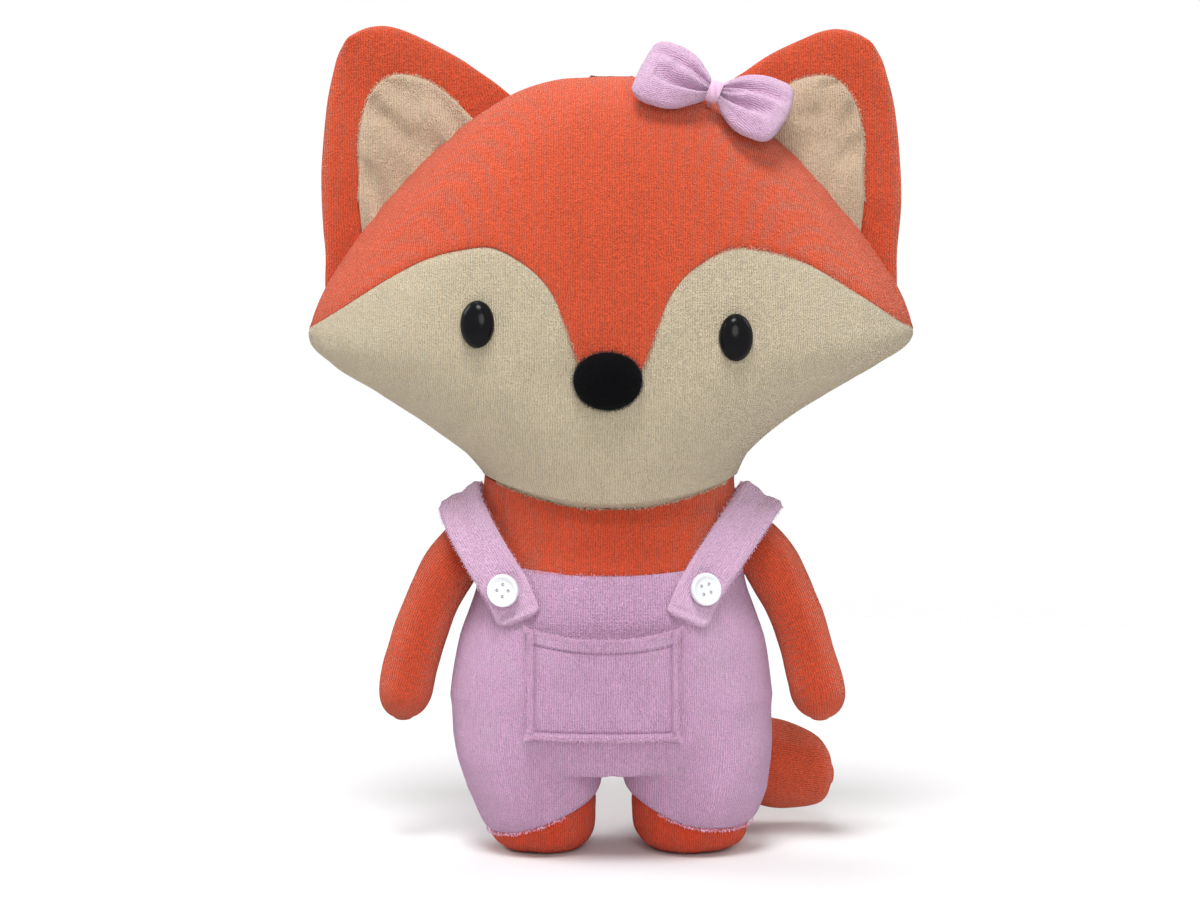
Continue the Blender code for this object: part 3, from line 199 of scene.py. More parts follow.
# Seam between the forehead and the face: share of the half-width, share of the height
# between the cheeks and the crown
SEAM_SHARES = [
    (0.0, -0.170), (0.045, -0.150), (0.085, -0.110), (0.108, -0.066), (0.132, 0.022),
    (0.161, 0.105), (0.200, 0.186), (0.266, 0.262), (0.356, 0.321), (0.450, 0.359),
    (0.530, 0.359), (0.660, 0.326), (0.760, 0.262), (0.900, 0.121), (1.0, 0.030),
]

# Body form, neck to crotch: height share, half-width share, half-depth share
BODY_SHARES = [
    (1.0, 0.775, 0.71), (0.91, 0.785, 0.763), (0.82, 0.795, 0.803), (0.76, 0.800, 0.860),
    (0.705, 0.822, 0.908), (0.642, 0.875, 0.947), (0.58, 0.928, 0.974),
    (0.52, 0.962, 0.995), (0.45, 0.986, 1.0), (0.39, 1.0, 1.0), (0.33, 0.993, 0.98),
    (0.28, 0.955, 0.94), (0.24, 0.85, 0.85), (0.215, 0.65, 0.66), (0.203, 0.35, 0.38),
]

# Leg form, top to sole: height share, centre share, half-width share, half-depth share
LEG_SHARES = [
    (1.0, 0.86, 0.84, 0.78), (0.72, 0.985, 0.985, 0.98), (0.54, 1.0, 0.975, 0.94),
    (0.43, 0.986, 0.918, 0.89), (0.286, 0.953, 0.837, 0.81), (0.143, 0.878, 0.741, 0.71),
    (0.0, 0.850, 0.700, 0.66),
]

# Arm, shoulder to hand: outer edge then inner edge, each as a share of the reach
# and of the drop below the shoulder, and the half-depth share
ARM_SHARES = [
    (0.00, -0.186, 0.00, 0.186, 0.92), (0.20, -0.155, 0.018, 0.205, 0.95),
    (0.39, -0.050, 0.065, 0.240, 0.97), (0.56, 0.095, 0.130, 0.300, 1.0),
    (0.715, 0.305, 0.230, 0.410, 1.0), (0.860, 0.535, 0.330, 0.575, 1.0),
    (0.975, 0.765, 0.425, 0.785, 1.0), (0.985, 0.880, 0.480, 0.890, 0.85),
    (0.910, 0.960, 0.580, 0.962, 0.52),
]
ARM_TIP_SHARE = (0.745, 1.0)

# Ear, base to tip: height share, near edge and far edge as shares of the base
EAR_SHARES = [
    (0.0, 0.016, 1.020), (0.15, 0.038, 0.941), (0.30, 0.056, 0.853), (0.45, 0.082, 0.762),
    (0.62, 0.115, 0.652), (0.76, 0.148, 0.561), (0.87, 0.190, 0.476), (0.95, 0.246, 0.410),
    (0.988, 0.298, 0.352), (1.0, 0.328, 0.328),
]
INNER_EAR_SHARES = [
    (0.06, 0.190, 0.745), (0.164, 0.195, 0.672), (0.28, 0.207, 0.612), (0.367, 0.225, 0.563),
    (0.47, 0.262, 0.485), (0.53, 0.300, 0.420), (0.556, 0.355, 0.355),
]

# Tail, root to tip: length share, half-height share, half-depth share
TAIL_SHARES = [
    (0.0, 0.52, 0.70), (0.16, 0.62, 0.76), (0.36, 0.80, 0.90), (0.56, 0.95, 1.0),
    (0.74, 0.99, 1.0), (0.88, 0.84, 0.86), (0.96, 0.56, 0.60), (1.0, 0.0, 0.0),
]

TAU = 2.0 * math.pi


def spline(table, position):
    """A smooth curve through the table's rows, at a position from 0 to 1."""
    last = len(table) - 1
    place = min(max(position, 0.0), 1.0) * last
    index = min(int(place), last - 1)
    t = place - index
    rows = [table[max(index - 1, 0)], table[index], table[index + 1], table[min(index + 2, last)]]
    values = []
    for a, b, c, d in zip(*rows):
        values.append(0.5 * (2.0 * b + (c - a) * t + (2.0 * a - 5.0 * b + 4.0 * c - d) * t * t
                             + (3.0 * b - 3.0 * c + d - a) * t * t * t))
    return values


def find_position(table, value, column=0, falling=False):
    """The position on the curve at which one column has a value."""
    return find_in_rows(tuple(table), value, column, falling)


@lru_cache(maxsize=None)
def find_in_rows(table, value, column, falling):
    low, high = 0.0, 1.0
    for _ in range(40):
        middle = 0.5 * (low + high)
        below = spline(table, middle)[column] < value
        if below != falling:
            low = middle
        else:
            high = middle
    return 0.5 * (low + high)


def spread(count, start=0.0, end=1.0):
    """Evenly spaced values, both ends included."""
    return [start + (end - start) * index / count for index in range(count + 1)]


def neck_height(x, y):
    """Height of the dish between the head and the body."""
    radius = math.hypot(x, y)
    return NECK_Z + NECK_SLOPE_SHARE * max(radius - NECK_FLAT_RADIUS, 0.0)


def head_level(position):
    """Half-width, height and depth share of the head at a position from crown to neck."""
    width_share, height_share = spline(HEAD_OUTLINE_SHARES, position)
    width_share = max(width_share, 0.0)
    height = CHEEK_Z + height_share * (CROWN_Z - CHEEK_Z)
    if height_share > 0.0:
        depth_share = math.sqrt(max(1.0 - height_share ** 2, 0.0))
    else:
        fall = height_share / HEAD_OUTLINE_SHARES[-1][1]
        end_share = HEAD_CHIN_DEPTH / HEAD_FRONT_DEPTH
        depth_share = math.sqrt(1.0 - (1.0 - end_share ** 2) * fall ** 2)
    return width_share * HEAD_HALF_WIDTH, height, depth_share


def head_surface(position, angle):
    """The head's outside; angle 0 is the fox's left seam, a quarter turn its front."""
    width, height, depth_share = head_level(position)
    depth = (HEAD_FRONT_DEPTH if math.sin(angle) > 0.0 else HEAD_BACK_DEPTH) * depth_share
    x = width * math.cos(angle)
    y = -depth * math.sin(angle)
    low = 0.55
    if position > low:
        # The underside settles into the neck's dish
        share = ((position - low) / (1.0 - low)) ** 2
        edge = head_level(1.0)[1]
        height += share * (neck_height(x, y) - edge)
    return Vector((x, y, height))


def head_front_y(x, z):
    """Depth of the face's outside at a place in the front view."""
    height_share = (z - CHEEK_Z) / (CROWN_Z - CHEEK_Z)
    position = find_position(HEAD_OUTLINE_SHARES, height_share, 1, True)
    angle = math.radians(90)
    for _ in range(12):
        width = head_level(position)[0]
        angle = math.acos(min(max(x / width, -1.0), 1.0))
        off = head_surface(position, angle).z - z
        position += off / (CROWN_Z - NECK_Z)
        position = min(max(position, 0.0), 1.0)
    return head_surface(position, angle).y


def head_front_normal(x, z):
    """Outward direction of the face at a place in the front view."""
    step = CLOTH
    across = Vector((2.0 * step, head_front_y(x + step, z) - head_front_y(x - step, z), 0.0))
    up = Vector((0.0, head_front_y(x, z + step) - head_front_y(x, z - step), 2.0 * step))
    return across.cross(up).normalized()


@lru_cache(maxsize=None)
def seam_position(angle):
    """Position of the forehead seam on the head."""
    place = find_position(SEAM_SHARES, abs(math.cos(angle)))
    return find_position(HEAD_OUTLINE_SHARES, spline(SEAM_SHARES, place)[1], 1, True)


def body_level(position):
    """Height, half-width and half-depth of the body at a position from neck to crotch."""
    height_share, width_share, depth_share = spline(BODY_SHARES, position)
    return height_share * BODY_TOP_Z, width_share * HIP_HALF_WIDTH, depth_share * BELLY_DEPTH


def body_position(height):
    return find_position(BODY_SHARES, height / BODY_TOP_Z, 0, True)


def body_surface(position, angle):
    """The body's outside; its top settles under the neck's dish."""
    height, width, depth = body_level(position)
    x = width * math.cos(angle)
    y = -depth * math.sin(angle)
    high = 0.2
    if position < high:
        share = (high - position) / high
        height += share * (neck_height(x, y) - NECK_GAP - BODY_TOP_Z)
    return Vector((x, y, height))


def body_y(x, height, clearance=0.0):
    """Depth of the body's front at a place in the front view."""
    width, depth = body_level(body_position(height))[1:]
    share = min(abs(x) / (width + clearance), 0.999)
    return -(depth + clearance) * math.sqrt(1.0 - share ** 2)


@lru_cache(maxsize=None)
def waist_position(angle):
    return body_position(WAIST_Z + WAIST_SIDE_RISE * math.cos(angle) ** 2)


@lru_cache(maxsize=None)
def leg_level(height):
    """Centre, half-width and half-depth of a leg at a height."""
    position = find_position(LEG_SHARES, height / LEG_TOP_Z, 0, True)
    centre_share, width_share, depth_share = spline(LEG_SHARES, position)[1:]
    round_share = 1.0
    if height < FOOT_CORNER:
        rest = (FOOT_CORNER - height) / (FOOT_CORNER + SOLE_CUT)
        round_share = (1.0 - rest ** 3) ** (1.0 / 3.0)
    return (centre_share * LEG_SPREAD, width_share * round_share * LEG_HALF_WIDTH,
            depth_share * round_share * LEG_HALF_DEPTH)


def leg_point(side, height, angle):
    centre, width, depth = leg_level(height)
    x = side * centre + width * math.cos(angle)
    return Vector((x, -depth * math.sin(angle), height))


def cuff_line(across):
    """Height of the trouser cuff, low outside and high between the legs."""
    centre, half = leg_level(CUFF_OUTER_Z)[:2]
    inside = 1.0 - min(max(across, 0.0), centre + half) / (centre + half)
    return CUFF_OUTER_Z + CUFF_RISE * inside ** CUFF_CURVE_SHARE


def arm_root_x():
    """The sewn end of an arm, just clear of the body's side."""
    low = body_level(body_position(SHOULDER_Z - ARM_ROOT_RADIUS))[1]
    return low + GAP


def arm_surface(side):
    table = ARM_SHARES + [(ARM_TIP_SHARE[0], ARM_TIP_SHARE[1], ARM_TIP_SHARE[0], ARM_TIP_SHARE[1], 0.0)]

    def surface(position, angle):
        out_x, out_z, in_x, in_z, depth_share = spline(table, position)
        half_x = 0.5 * (out_x - in_x) * ARM_REACH
        half_z = -0.5 * (out_z - in_z) * ARM_DROP
        x = arm_root_x() + 0.5 * (out_x + in_x) * ARM_REACH + half_x * math.cos(angle)
        z = SHOULDER_Z - 0.5 * (out_z + in_z) * ARM_DROP + half_z * math.cos(angle)
        y = -depth_share * ARM_HALF_DEPTH * math.sin(angle)
        return Vector((side * x, side * y, z))
    return surface


def tail_root_y():
    """Depth of the tail's axis, its sewn end just clear of the trousers."""
    height_share, depth_share = TAIL_SHARES[0][1:]
    needed = 0.0
    for angle in spread(12, 0.0, math.pi):
        z = TAIL_ROOT_Z + height_share * TAIL_HALF_HEIGHT * math.cos(angle)
        reach = depth_share * TAIL_HALF_DEPTH * math.sin(angle)
        needed = max(needed, reach - body_y(TAIL_ROOT_X, z))
    return needed + GAP


def tail_surface(position, angle):
    length_share, height_share, depth_share = spline(TAIL_SHARES, position)
    x = TAIL_ROOT_X + length_share * TAIL_LENGTH
    y = tail_root_y() - depth_share * TAIL_HALF_DEPTH * math.sin(angle)
    centre = TAIL_ROOT_Z - TAIL_DIP * max(length_share, 0.0)
    return Vector((x, y, centre + height_share * TAIL_HALF_HEIGHT * math.cos(angle)))


class EarFrame:
    """An ear's base line along the head's seam, and its own length and height directions."""

    def __init__(self, side):
        self.side = side
        self.near = self.seam_point(EAR_INNER_END_SHARE)
        far = self.seam_point(EAR_OUTER_END_SHARE)
        self.length = (far - self.near).length
        self.along = (far - self.near).normalized()
        self.up = Vector((-self.along.z, 0.0, self.along.x))
        if self.up.z < 0.0:
            self.up = -self.up
        self.base = []
        for position in spread(16, EAR_INNER_END_SHARE, EAR_OUTER_END_SHARE):
            offset = self.seam_point(position) - self.near
            self.base.append((offset.dot(self.along), offset.dot(self.up)))
        self.bulge = max(height for _, height in self.base)

    def seam_point(self, position):
        width, height = head_level(position)[:2]
        return Vector((self.side * width, 0.0, height))

    def base_height(self, along):
        for (x0, y0), (x1, y1) in zip(self.base, self.base[1:]):
            if along <= x1:
                share = max((along - x0) / (x1 - x0), 0.0)
                return y0 + (y1 - y0) * share + 2.0 * GAP
        return self.base[-1][1] + 2.0 * GAP

    def point(self, along, depth, height):
        place = self.near + self.along * along + self.up * height
        return Vector((place.x, depth, place.z))


def ear_level(frame, share):
    """Centre, half-length and half-thickness of an ear at a height share."""
    near, far = spline(EAR_SHARES, find_position(EAR_SHARES, share))[1:]
    centre = 0.5 * (near + far) * frame.length
    half = 0.5 * (far - near) * frame.length
    return centre, half, EAR_HALF_THICKNESS * (1.0 - 0.25 * share)


def ear_height(frame, along, share):
    lift = EAR_HALF_THICKNESS * (1.0 - share)
    return frame.base_height(along) * (1.0 - share) + share * EAR_HEIGHT + lift


def on_face(x, z, lift):
    """A frame on the face, its Z straight out and its Y up."""
    normal = head_front_normal(x, z)
    spot = Vector((x, head_front_y(x, z) - 0.5 * GAP, z)) + normal * lift
    across = Vector((0.0, 0.0, 1.0)).cross(normal).normalized()
    up = normal.cross(across)
    turn = Matrix((across, up, normal)).transposed().to_4x4()
    return Matrix.Translation(spot) @ turn


def bow_frame():
    """A frame on the head for the bow, its Z outward, raised until the bow clears the head."""
    across = Vector((math.cos(BOW_TURN), 0.0, math.sin(BOW_TURN)))
    rise = Vector((-math.sin(BOW_TURN), 0.0, math.cos(BOW_TURN)))
    normal = rise * math.sin(BOW_LEAN) + Vector((0.0, -math.cos(BOW_LEAN), 0.0))
    spot = Vector((BOW_X, head_front_y(BOW_X, BOW_Z), BOW_Z))
    reach = 0.5 * BOW_WRAP_SPAN + BOW_LOOP_LENGTH
    lift = 0.0
    for along in spread(10, -reach, reach):
        for high in spread(8, -BOW_LOOP_HALF_HEIGHT, BOW_LOOP_HALF_HEIGHT):
            place = spot + across * along + rise * high
            if place.z < CROWN_Z - CLOTH:
                place.y = head_front_y(place.x, place.z)
                lift = max(lift, (place - spot).dot(normal))
    spot += normal * (lift + 2.0 * GAP)
    turn = Matrix((across, normal.cross(across), normal)).transposed().to_4x4()
    return Matrix.Translation(spot) @ turn


def strap_centre(turn, side):
    """The strap's middle line and outward direction, front to back.

    It goes over the shoulder from turn 0 to half a turn, with a straight tail past each end.
    """
    tail = max(-turn, turn - math.pi, 0.0)
    turn = min(max(turn, 0.0), math.pi)
    rise = max(math.sin(turn), 0.0)
    front = math.cos(turn)
    y_front = body_y(STRAP_BUTTON_X, STRAP_BUTTON_Z, STRAP_LIFT)
    x = STRAP_BUTTON_X + (STRAP_TOP_X - STRAP_BUTTON_X) * rise
    z = STRAP_BUTTON_Z + (STRAP_TOP_Z - STRAP_BUTTON_Z) * rise
    shift = TRIM_X * max(front, 0.0)
    normal = Vector((side * math.sin(STRAP_LEAN) * rise, -front, math.cos(STRAP_LEAN) * rise))
    spot = Vector((side * x + shift, y_front * front, z))
    spot += Vector((-side * STRAP_SLANT_SHARE, 0.0, -1.0)) * (STRAP_TAIL * tail)
    return spot, normal.normalized()


def body_reach(point, clearance):
    """How far out a point is, with 1 on the body's form."""
    if point.z > BODY_TOP_Z:
        return 1.0
    width, depth = body_level(body_position(point.z))[1:]
    return math.hypot(point.x / (width + clearance), point.y / (depth + clearance))


def clear_of_body(point, normal, clearance):
    """Push a point out of the body's form along a direction."""
    if body_reach(point, clearance) >= 1.0:
        return point
    low, high = 0.0, BELLY_DEPTH
    for _ in range(30):
        middle = 0.5 * (low + high)
        if body_reach(point + normal * middle, clearance) < 1.0:
            low = middle
        else:
            high = middle
    return point + normal * high


def pocket_point(across, up, lift):
    """A point of the pocket; it is sewn down at three sides and gapes at its mouth."""
    x = TRIM_X + across * POCKET_HALF_WIDTH
    sag = POCKET_SAG * up ** 2 * (1.0 - across ** 2)
    z = POCKET_BOTTOM_Z + up * (POCKET_TOP_Z - POCKET_BOTTOM_Z) - sag
    gape = POCKET_GAPE * up ** 1.5 * (1.0 - across ** 2)
    return Vector((x, body_y(x, z) - 2.0 * GAP - gape - lift, z))


# Mesh tools for the visible pieces

EDGE_ROLL = 0.0014        # how deep a sewn edge turns in
EDGE_ROLL_STEPS = ((0.35, 0.0), (1.0, 0.25))   # each row's depth and reach, as shares of it
MERGE = 2e-6              # points closer than this are one
FORWARD = (0.0, -1.0, 0.0)
UP = (0.0, 0.0, 1.0)
DOWN = (0.0, 0.0, -1.0)
PINCH_POWER = 1.4
ARC_STEPS = 24
RING_MIN = 0.002          # the least radius in measuring round a form
TINY = 1e-9
VERY_TINY = 1e-12
NEAR = 0.01               # a small step of angle or position, to find a direction with
VELOUR_LIFT = 0.0003      # pile standing proud of the cloth


def add_object(name, data):
    item = bpy.data.objects.new(name, data)
    bpy.context.scene.collection.objects.link(item)
    return item


def show(name, mesh, shade):
    """Smooth a mesh, give it its material and make its object."""
    mesh.shade_smooth()
    mesh.materials.append(shade)
    return add_object(name, mesh)


def carried_out(item):
    """Replace an object's mesh by what its modifiers make of it."""
    ready = bpy.context.evaluated_depsgraph_get()
    shaped = bpy.data.meshes.new_from_object(item.evaluated_get(ready))
    item.modifiers.clear()
    item.data = shaped
    return shaped


def facing(direction, count):
    """One direction for every place of a line."""
    return np.tile(direction, (count, 1))


def sample(surface, rows, columns):
    """A grid of a surface's points as an array."""
    return np.array([[tuple(surface(row, column)) for column in columns] for row in rows])


def grid_normals(points, closed):
    """Unit normals of a grid, for rows that run down and columns that run clockwise from above."""
    along = np.gradient(points, axis=0)
    if closed:
        wide = np.concatenate([points[:, -2:-1], points, points[:, 1:2]], axis=1)
        across = (wide[:, 2:] - wide[:, :-2]) * 0.5
    else:
        across = np.gradient(points, axis=1)
    found = np.cross(across, along)
    length = np.linalg.norm(found, axis=2, keepdims=True)
    return found / np.maximum(length, VERY_TINY)


def arc_lengths(points, axis):
    """Running length along the rows or columns of a grid."""
    steps = np.linalg.norm(np.diff(points, axis=axis), axis=2)
    start = np.zeros_like(steps[:1]) if axis == 0 else np.zeros_like(steps[:, :1])
    return np.concatenate([start, np.cumsum(steps, axis=axis)], axis=axis)


def weave_places(points, middle):
    """Cloth coordinates in metres: across from a middle column, and down along the columns."""
    across = arc_lengths(points, 1)
    down = arc_lengths(points, 0)
    across = across - across[:, middle:middle + 1]
    return np.stack([across, -down[:, middle:middle + 1] + 0.0 * across], axis=2)


def ring_places(points, heights, wide, front, back):
    """Cloth coordinates: true length round an upright form from its front, and height."""
    z = points[..., 2]
    across = np.maximum(np.interp(z, heights, wide), RING_MIN)
    ahead = points[..., 1] < 0.0
    deep = np.where(ahead, np.interp(z, heights, front), np.interp(z, heights, back))
    deep = np.maximum(deep, RING_MIN)
    turn = np.arctan2(points[..., 0] / across, -points[..., 1] / deep)
    turns = [turn * (step + 0.5) / ARC_STEPS for step in range(ARC_STEPS)]
    arc = sum(np.hypot(across * np.cos(part), deep * np.sin(part)) for part in turns)
    return np.stack([arc * turn / ARC_STEPS, z], axis=-1)


def lumps(points, size, depth, seed):
    """Soft unevenness of a stuffed form."""
    flat = points.reshape(-1, 3) / size
    shift = seed_shift(seed)
    values = [noise.noise(Vector(point) + shift) for point in flat]
    return np.array(values).reshape(points.shape[:2]) * depth


def all_lumps(points, rows, shift=0):
    """Unevenness of several sizes, from rows of size, depth and seed."""
    return sum(lumps(points, size, depth, seed + shift) for size, depth, seed in rows)


def seed_shift(seed):
    """Where in the noise a seed looks."""
    return Vector((seed * 3.7, seed * 1.9, seed * 5.3))


def soft_noise(point, *rows):
    """The same unevenness at one point."""
    return sum(noise.noise(point / size + seed_shift(seed)) * depth for size, depth, seed in rows)


def hump(distance, width, power=2.0):
    """A bump of height 1 that falls off with the distance."""
    return math.exp(-(distance / width) ** power)


def clamp(value):
    return min(max(value, 0.0), 1.0)


def pinch(distance, depth, width):
    """How far a surface sinks near a seam."""
    return depth * np.exp(-(distance / width) ** PINCH_POWER)


def edge_distances(points):
    """Length from each edge of a grid: first row, last row, first column, last column."""
    down = arc_lengths(points, 0)
    across = arc_lengths(points, 1)
    return down, down[-1:] - down, across, across[:, -1:] - across


def roll_edges(points, normals, edges):
    """Add rows that turn in behind the sewn edges named in a string of t and b."""
    before, after = [], []
    for deep, out in EDGE_ROLL_STEPS:
        for edge, end, next_in, rows in (("t", 0, 1, before), ("b", -1, -2, after)):
            if edge not in edges:
                continue
            outward = points[end] - points[next_in]
            size = np.maximum(np.linalg.norm(outward, axis=1, keepdims=True), TINY)
            row = points[end] - normals[end] * EDGE_ROLL * deep - outward / size * EDGE_ROLL * out
            rows.insert(0 if edge == "t" else len(rows), row)
    return np.concatenate([np.array(before).reshape(-1, *points.shape[1:]), points,
                           np.array(after).reshape(-1, *points.shape[1:])], axis=0)


def grid_mesh(name, points, places, shade):
    """A smooth mesh from a grid of points with cloth coordinates for its weave."""
    rows, columns = points.shape[:2]
    mesh = bpy.data.meshes.new(name)
    index = np.arange(rows * columns).reshape(rows, columns)
    quads = np.stack([index[:-1, :-1], index[1:, :-1], index[1:, 1:], index[:-1, 1:]], axis=2)
    quads = quads.reshape(-1, 4)
    mesh.from_pydata(points.reshape(-1, 3).tolist(), [], quads.tolist())
    layer = mesh.uv_layers.new(name="weave")
    layer.data.foreach_set("uv", places.reshape(-1, 2)[quads.reshape(-1)].astype(np.float32).ravel())
    return finish_piece(name, mesh, shade)


def finish_piece(name, mesh, shade):
    """Weld doubled points, point the faces out and make the object."""
    shape = bmesh.new()
    shape.from_mesh(mesh)
    bmesh.ops.remove_doubles(shape, verts=shape.verts, dist=MERGE)
    bmesh.ops.dissolve_degenerate(shape, edges=shape.edges, dist=MERGE)
    bmesh.ops.recalc_face_normals(shape, faces=shape.faces)
    shape.to_mesh(mesh)
    shape.free()
    return show(name, mesh, shade)


def pad_places(places, before, after=0):
    """Cloth coordinates or normals for rows that were added above and below a grid."""
    return np.pad(places, ((before, after), (0, 0), (0, 0)), mode="edge")


def cloth_panel(name, surface, rows, columns, shade, places, sink, warp, edges="", closed=False, lining=None):
    """A cloth panel: its surface is moved by a sink function and its sewn edges turn in."""
    points = sample(surface, rows, columns)
    places = places(points)
    normals = grid_normals(points, closed)
    if (normals * (points - points.reshape(-1, 3).mean(0))).sum() < 0.0:
        normals = -normals
    points = points + normals * (VELOUR_LIFT - sink(points))[..., None]
    if closed:
        points[:, -1] = points[:, 0]
    points = warp(points)
    if lining is not None:
        points, places, normals = lining(points, places, normals)
    before, after = (len(EDGE_ROLL_STEPS) * (edge in edges) for edge in "tb")
    return grid_mesh(name, roll_edges(points, normals, edges), pad_places(places, before, after), shade)


def close_ends(item):
    """Fill the open ends of a tube-like mesh."""
    shape = bmesh.new()
    shape.from_mesh(item.data)
    edges = [edge for edge in shape.edges if edge.is_boundary]
    bmesh.ops.holes_fill(shape, edges=edges, sides=0)
    bmesh.ops.triangulate(shape, faces=[face for face in shape.faces if len(face.verts) > 4])
    bmesh.ops.recalc_face_normals(shape, faces=shape.faces)
    shape.to_mesh(item.data)
    shape.free()
    item.data.shade_smooth()


FIBRE_WIDTH = 0.00014
FIBRE_SCATTER = 0.0003    # how far a fibre's root strays from its line
FIBRE_SINK = 0.0002       # and how deep it stands in the cloth
FIBRE_OUT = (0.1, 0.9)    # least and most of its way outward
FIBRE_LEAN = (0.65, 0.40)   # mean and spread of its way over the seam
FIBRE_STRAY = 0.45        # spread of its way along the seam
FIBRE_LENGTHS = (0.45, 1.15)
FIBRE_BEND = 0.5
FIBRE_DROOP = 0.25
FIBRE_ROOT_SHARE = 0.55   # of its length, up to where it bends
FIBRE_TAPER = 0.8


def unit_rows(values):
    return values / np.maximum(np.linalg.norm(values, axis=1, keepdims=True), TINY)


def add_fuzz(name, line, outward, over, shade, seed, per_mm, length, body, slot, keep=None):
    """Short pile fibres along a seam or rim.

    line is a run of places, outward the cloth's direction there, and over the way most fibres lean.
    """
    chance = np.random.default_rng(seed)
    line, outward, over = (np.array(part, dtype=float) for part in (line, outward, over))
    steps = np.linalg.norm(np.diff(line, axis=0), axis=1)
    run = np.concatenate([[0.0], np.cumsum(steps)])
    count = int(run[-1] * 1000.0 * per_mm)
    spots = np.sort(chance.uniform(0.0, run[-1], count))

    def at(values):
        return np.stack([np.interp(spots, run, values[:, axis]) for axis in range(3)], axis=1)

    if keep is not None:
        spots = spots[keep(at(line))]
        count = len(spots)
    root, out, lean = at(line), unit_rows(at(outward)), unit_rows(at(over))
    along = unit_rows(np.cross(out, lean))
    root = root + lean * chance.normal(0.0, FIBRE_SCATTER, (count, 1)) - out * FIBRE_SINK
    way = unit_rows(out * chance.uniform(*FIBRE_OUT, (count, 1)) + lean * chance.normal(*FIBRE_LEAN, (count, 1))
                    + along * chance.normal(0.0, FIBRE_STRAY, (count, 1)))
    reach = length * chance.uniform(*FIBRE_LENGTHS, (count, 1))
    side = unit_rows(np.cross(way, unit_rows(chance.normal(0.0, 1.0, (count, 3))))) * FIBRE_WIDTH * 0.5
    bent = unit_rows(way + along * chance.normal(0.0, FIBRE_BEND, (count, 1)) - out * FIBRE_DROOP)
    middle = root + way * reach * FIBRE_ROOT_SHARE
    points = np.stack([root - side, root + side, middle + side * FIBRE_TAPER, middle - side * FIBRE_TAPER,
                       middle + bent * reach * (1.0 - FIBRE_ROOT_SHARE)], axis=1).reshape(-1, 3)
    base = np.arange(count)[:, None] * 5
    faces = (base + np.array([[0, 1, 2, 3]])).tolist() + (base + np.array([[3, 2, 4]])).tolist()
    mesh = bpy.data.meshes.new(name)
    mesh.from_pydata(points.tolist(), [], faces)
    dress(show(name, mesh, shade), body, slot)


def soften(item, rounds, chosen):
    """Relax the points of a mesh for which a test holds."""
    shape = bmesh.new()
    shape.from_mesh(item.data)
    verts = [vert for vert in shape.verts if not vert.is_boundary and chosen(vert.co)]
    for _ in range(rounds):
        bmesh.ops.smooth_vert(shape, verts=verts, factor=0.5, use_axis_x=True, use_axis_y=True, use_axis_z=True)
    shape.to_mesh(item.data)
    shape.free()


# Materials

RIB = 0.00085             # spacing of the cloth's knitted ribs
COURSE = 1.5 * RIB        # spacing of the stitches along a rib
COURSE_LOW = 0.84         # height of a rib between two stitches
WANDER_SIZE = 0.005       # how the ribs wander: over what length
WANDER = 7.0              # and by how much, in radians
PILE = 0.00055            # size of the tufts of its pile
CLOUD = 0.011             # size of its brushed patches
PILE_RANGE = (0.34, 0.66)
CLOUD_RANGE = (0.34, 0.68)
RELIEF_WEIGHTS = (0.9, 0.8, 0.5)             # ribs, pile, tufts
# Low pile, tufts and ribs are coloured darker: painted shade in the relief; the patches are random tone.
SHADE_AND_PATCH_WEIGHTS = (0.44, 0.10, 0.42, 0.08)      # pile, tufts, ribs, patches
DEEP_SHARE = 0.42         # how much darker and lighter than its colour a cloth goes
PALE_SHARE = 0.36
CLOTH_RELIEF = (0.9, 0.0005)                 # strength and height
PLASTIC_CLOUD = 0.004
PLASTIC_GRAIN = 0.0008


def shader_tree(name, roughness):
    made = bpy.data.materials.new(name)
    made.use_nodes = True
    nodes = made.node_tree.nodes
    shader = nodes["Principled BSDF"]
    shader.inputs["Roughness"].default_value = roughness
    return made, nodes, made.node_tree.links, shader


def math_node(nodes, links, operation, first, second=None):
    node = nodes.new("ShaderNodeMath")
    node.operation = operation
    for slot, value in enumerate((first, second)):
        if value is None:
            continue
        if isinstance(value, (int, float)):
            node.inputs[slot].default_value = value
        else:
            links.new(value, node.inputs[slot])
    return node.outputs[0]


def noise_node(nodes, links, vector, size, detail=2.0):
    node = nodes.new("ShaderNodeTexNoise")
    node.inputs["Scale"].default_value = 1.0 / size
    node.inputs["Detail"].default_value = detail
    links.new(vector, node.inputs["Vector"])
    return node.outputs["Fac"]


def colour_mix(nodes, links, amount, first, second):
    node = nodes.new("ShaderNodeMix")
    node.data_type = "RGBA"
    for slot, value in ((6, first), (7, second)):
        if isinstance(value, tuple):
            node.inputs[slot].default_value = (*value, 1.0)
        else:
            links.new(value, node.inputs[slot])
    links.new(amount, node.inputs[0])
    return node.outputs[2]


def scaled(colour, factor):
    return tuple(min(part * factor, 1.0) for part in colour)


def ranged(nodes, links, value, low, high, start=0.0, end=1.0):
    """Stretch a value's range, held at both ends."""
    node = nodes.new("ShaderNodeMapRange")
    links.new(value, node.inputs[0])
    for slot, number in enumerate((low, high, start, end), 1):
        node.inputs[slot].default_value = number
    return node.outputs[0]


def add_up(nodes, links, *parts):
    """The sum of some values, each times its weight."""
    total = None
    for value, weight in parts:
        part = math_node(nodes, links, "MULTIPLY", value, weight)
        total = part if total is None else math_node(nodes, links, "ADD", total, part)
    return total


def relief(nodes, links, shader, height, strength, distance):
    bump = nodes.new("ShaderNodeBump")
    bump.inputs["Strength"].default_value = strength
    bump.inputs["Distance"].default_value = distance
    links.new(height, bump.inputs["Height"])
    links.new(bump.outputs[0], shader.inputs["Normal"])


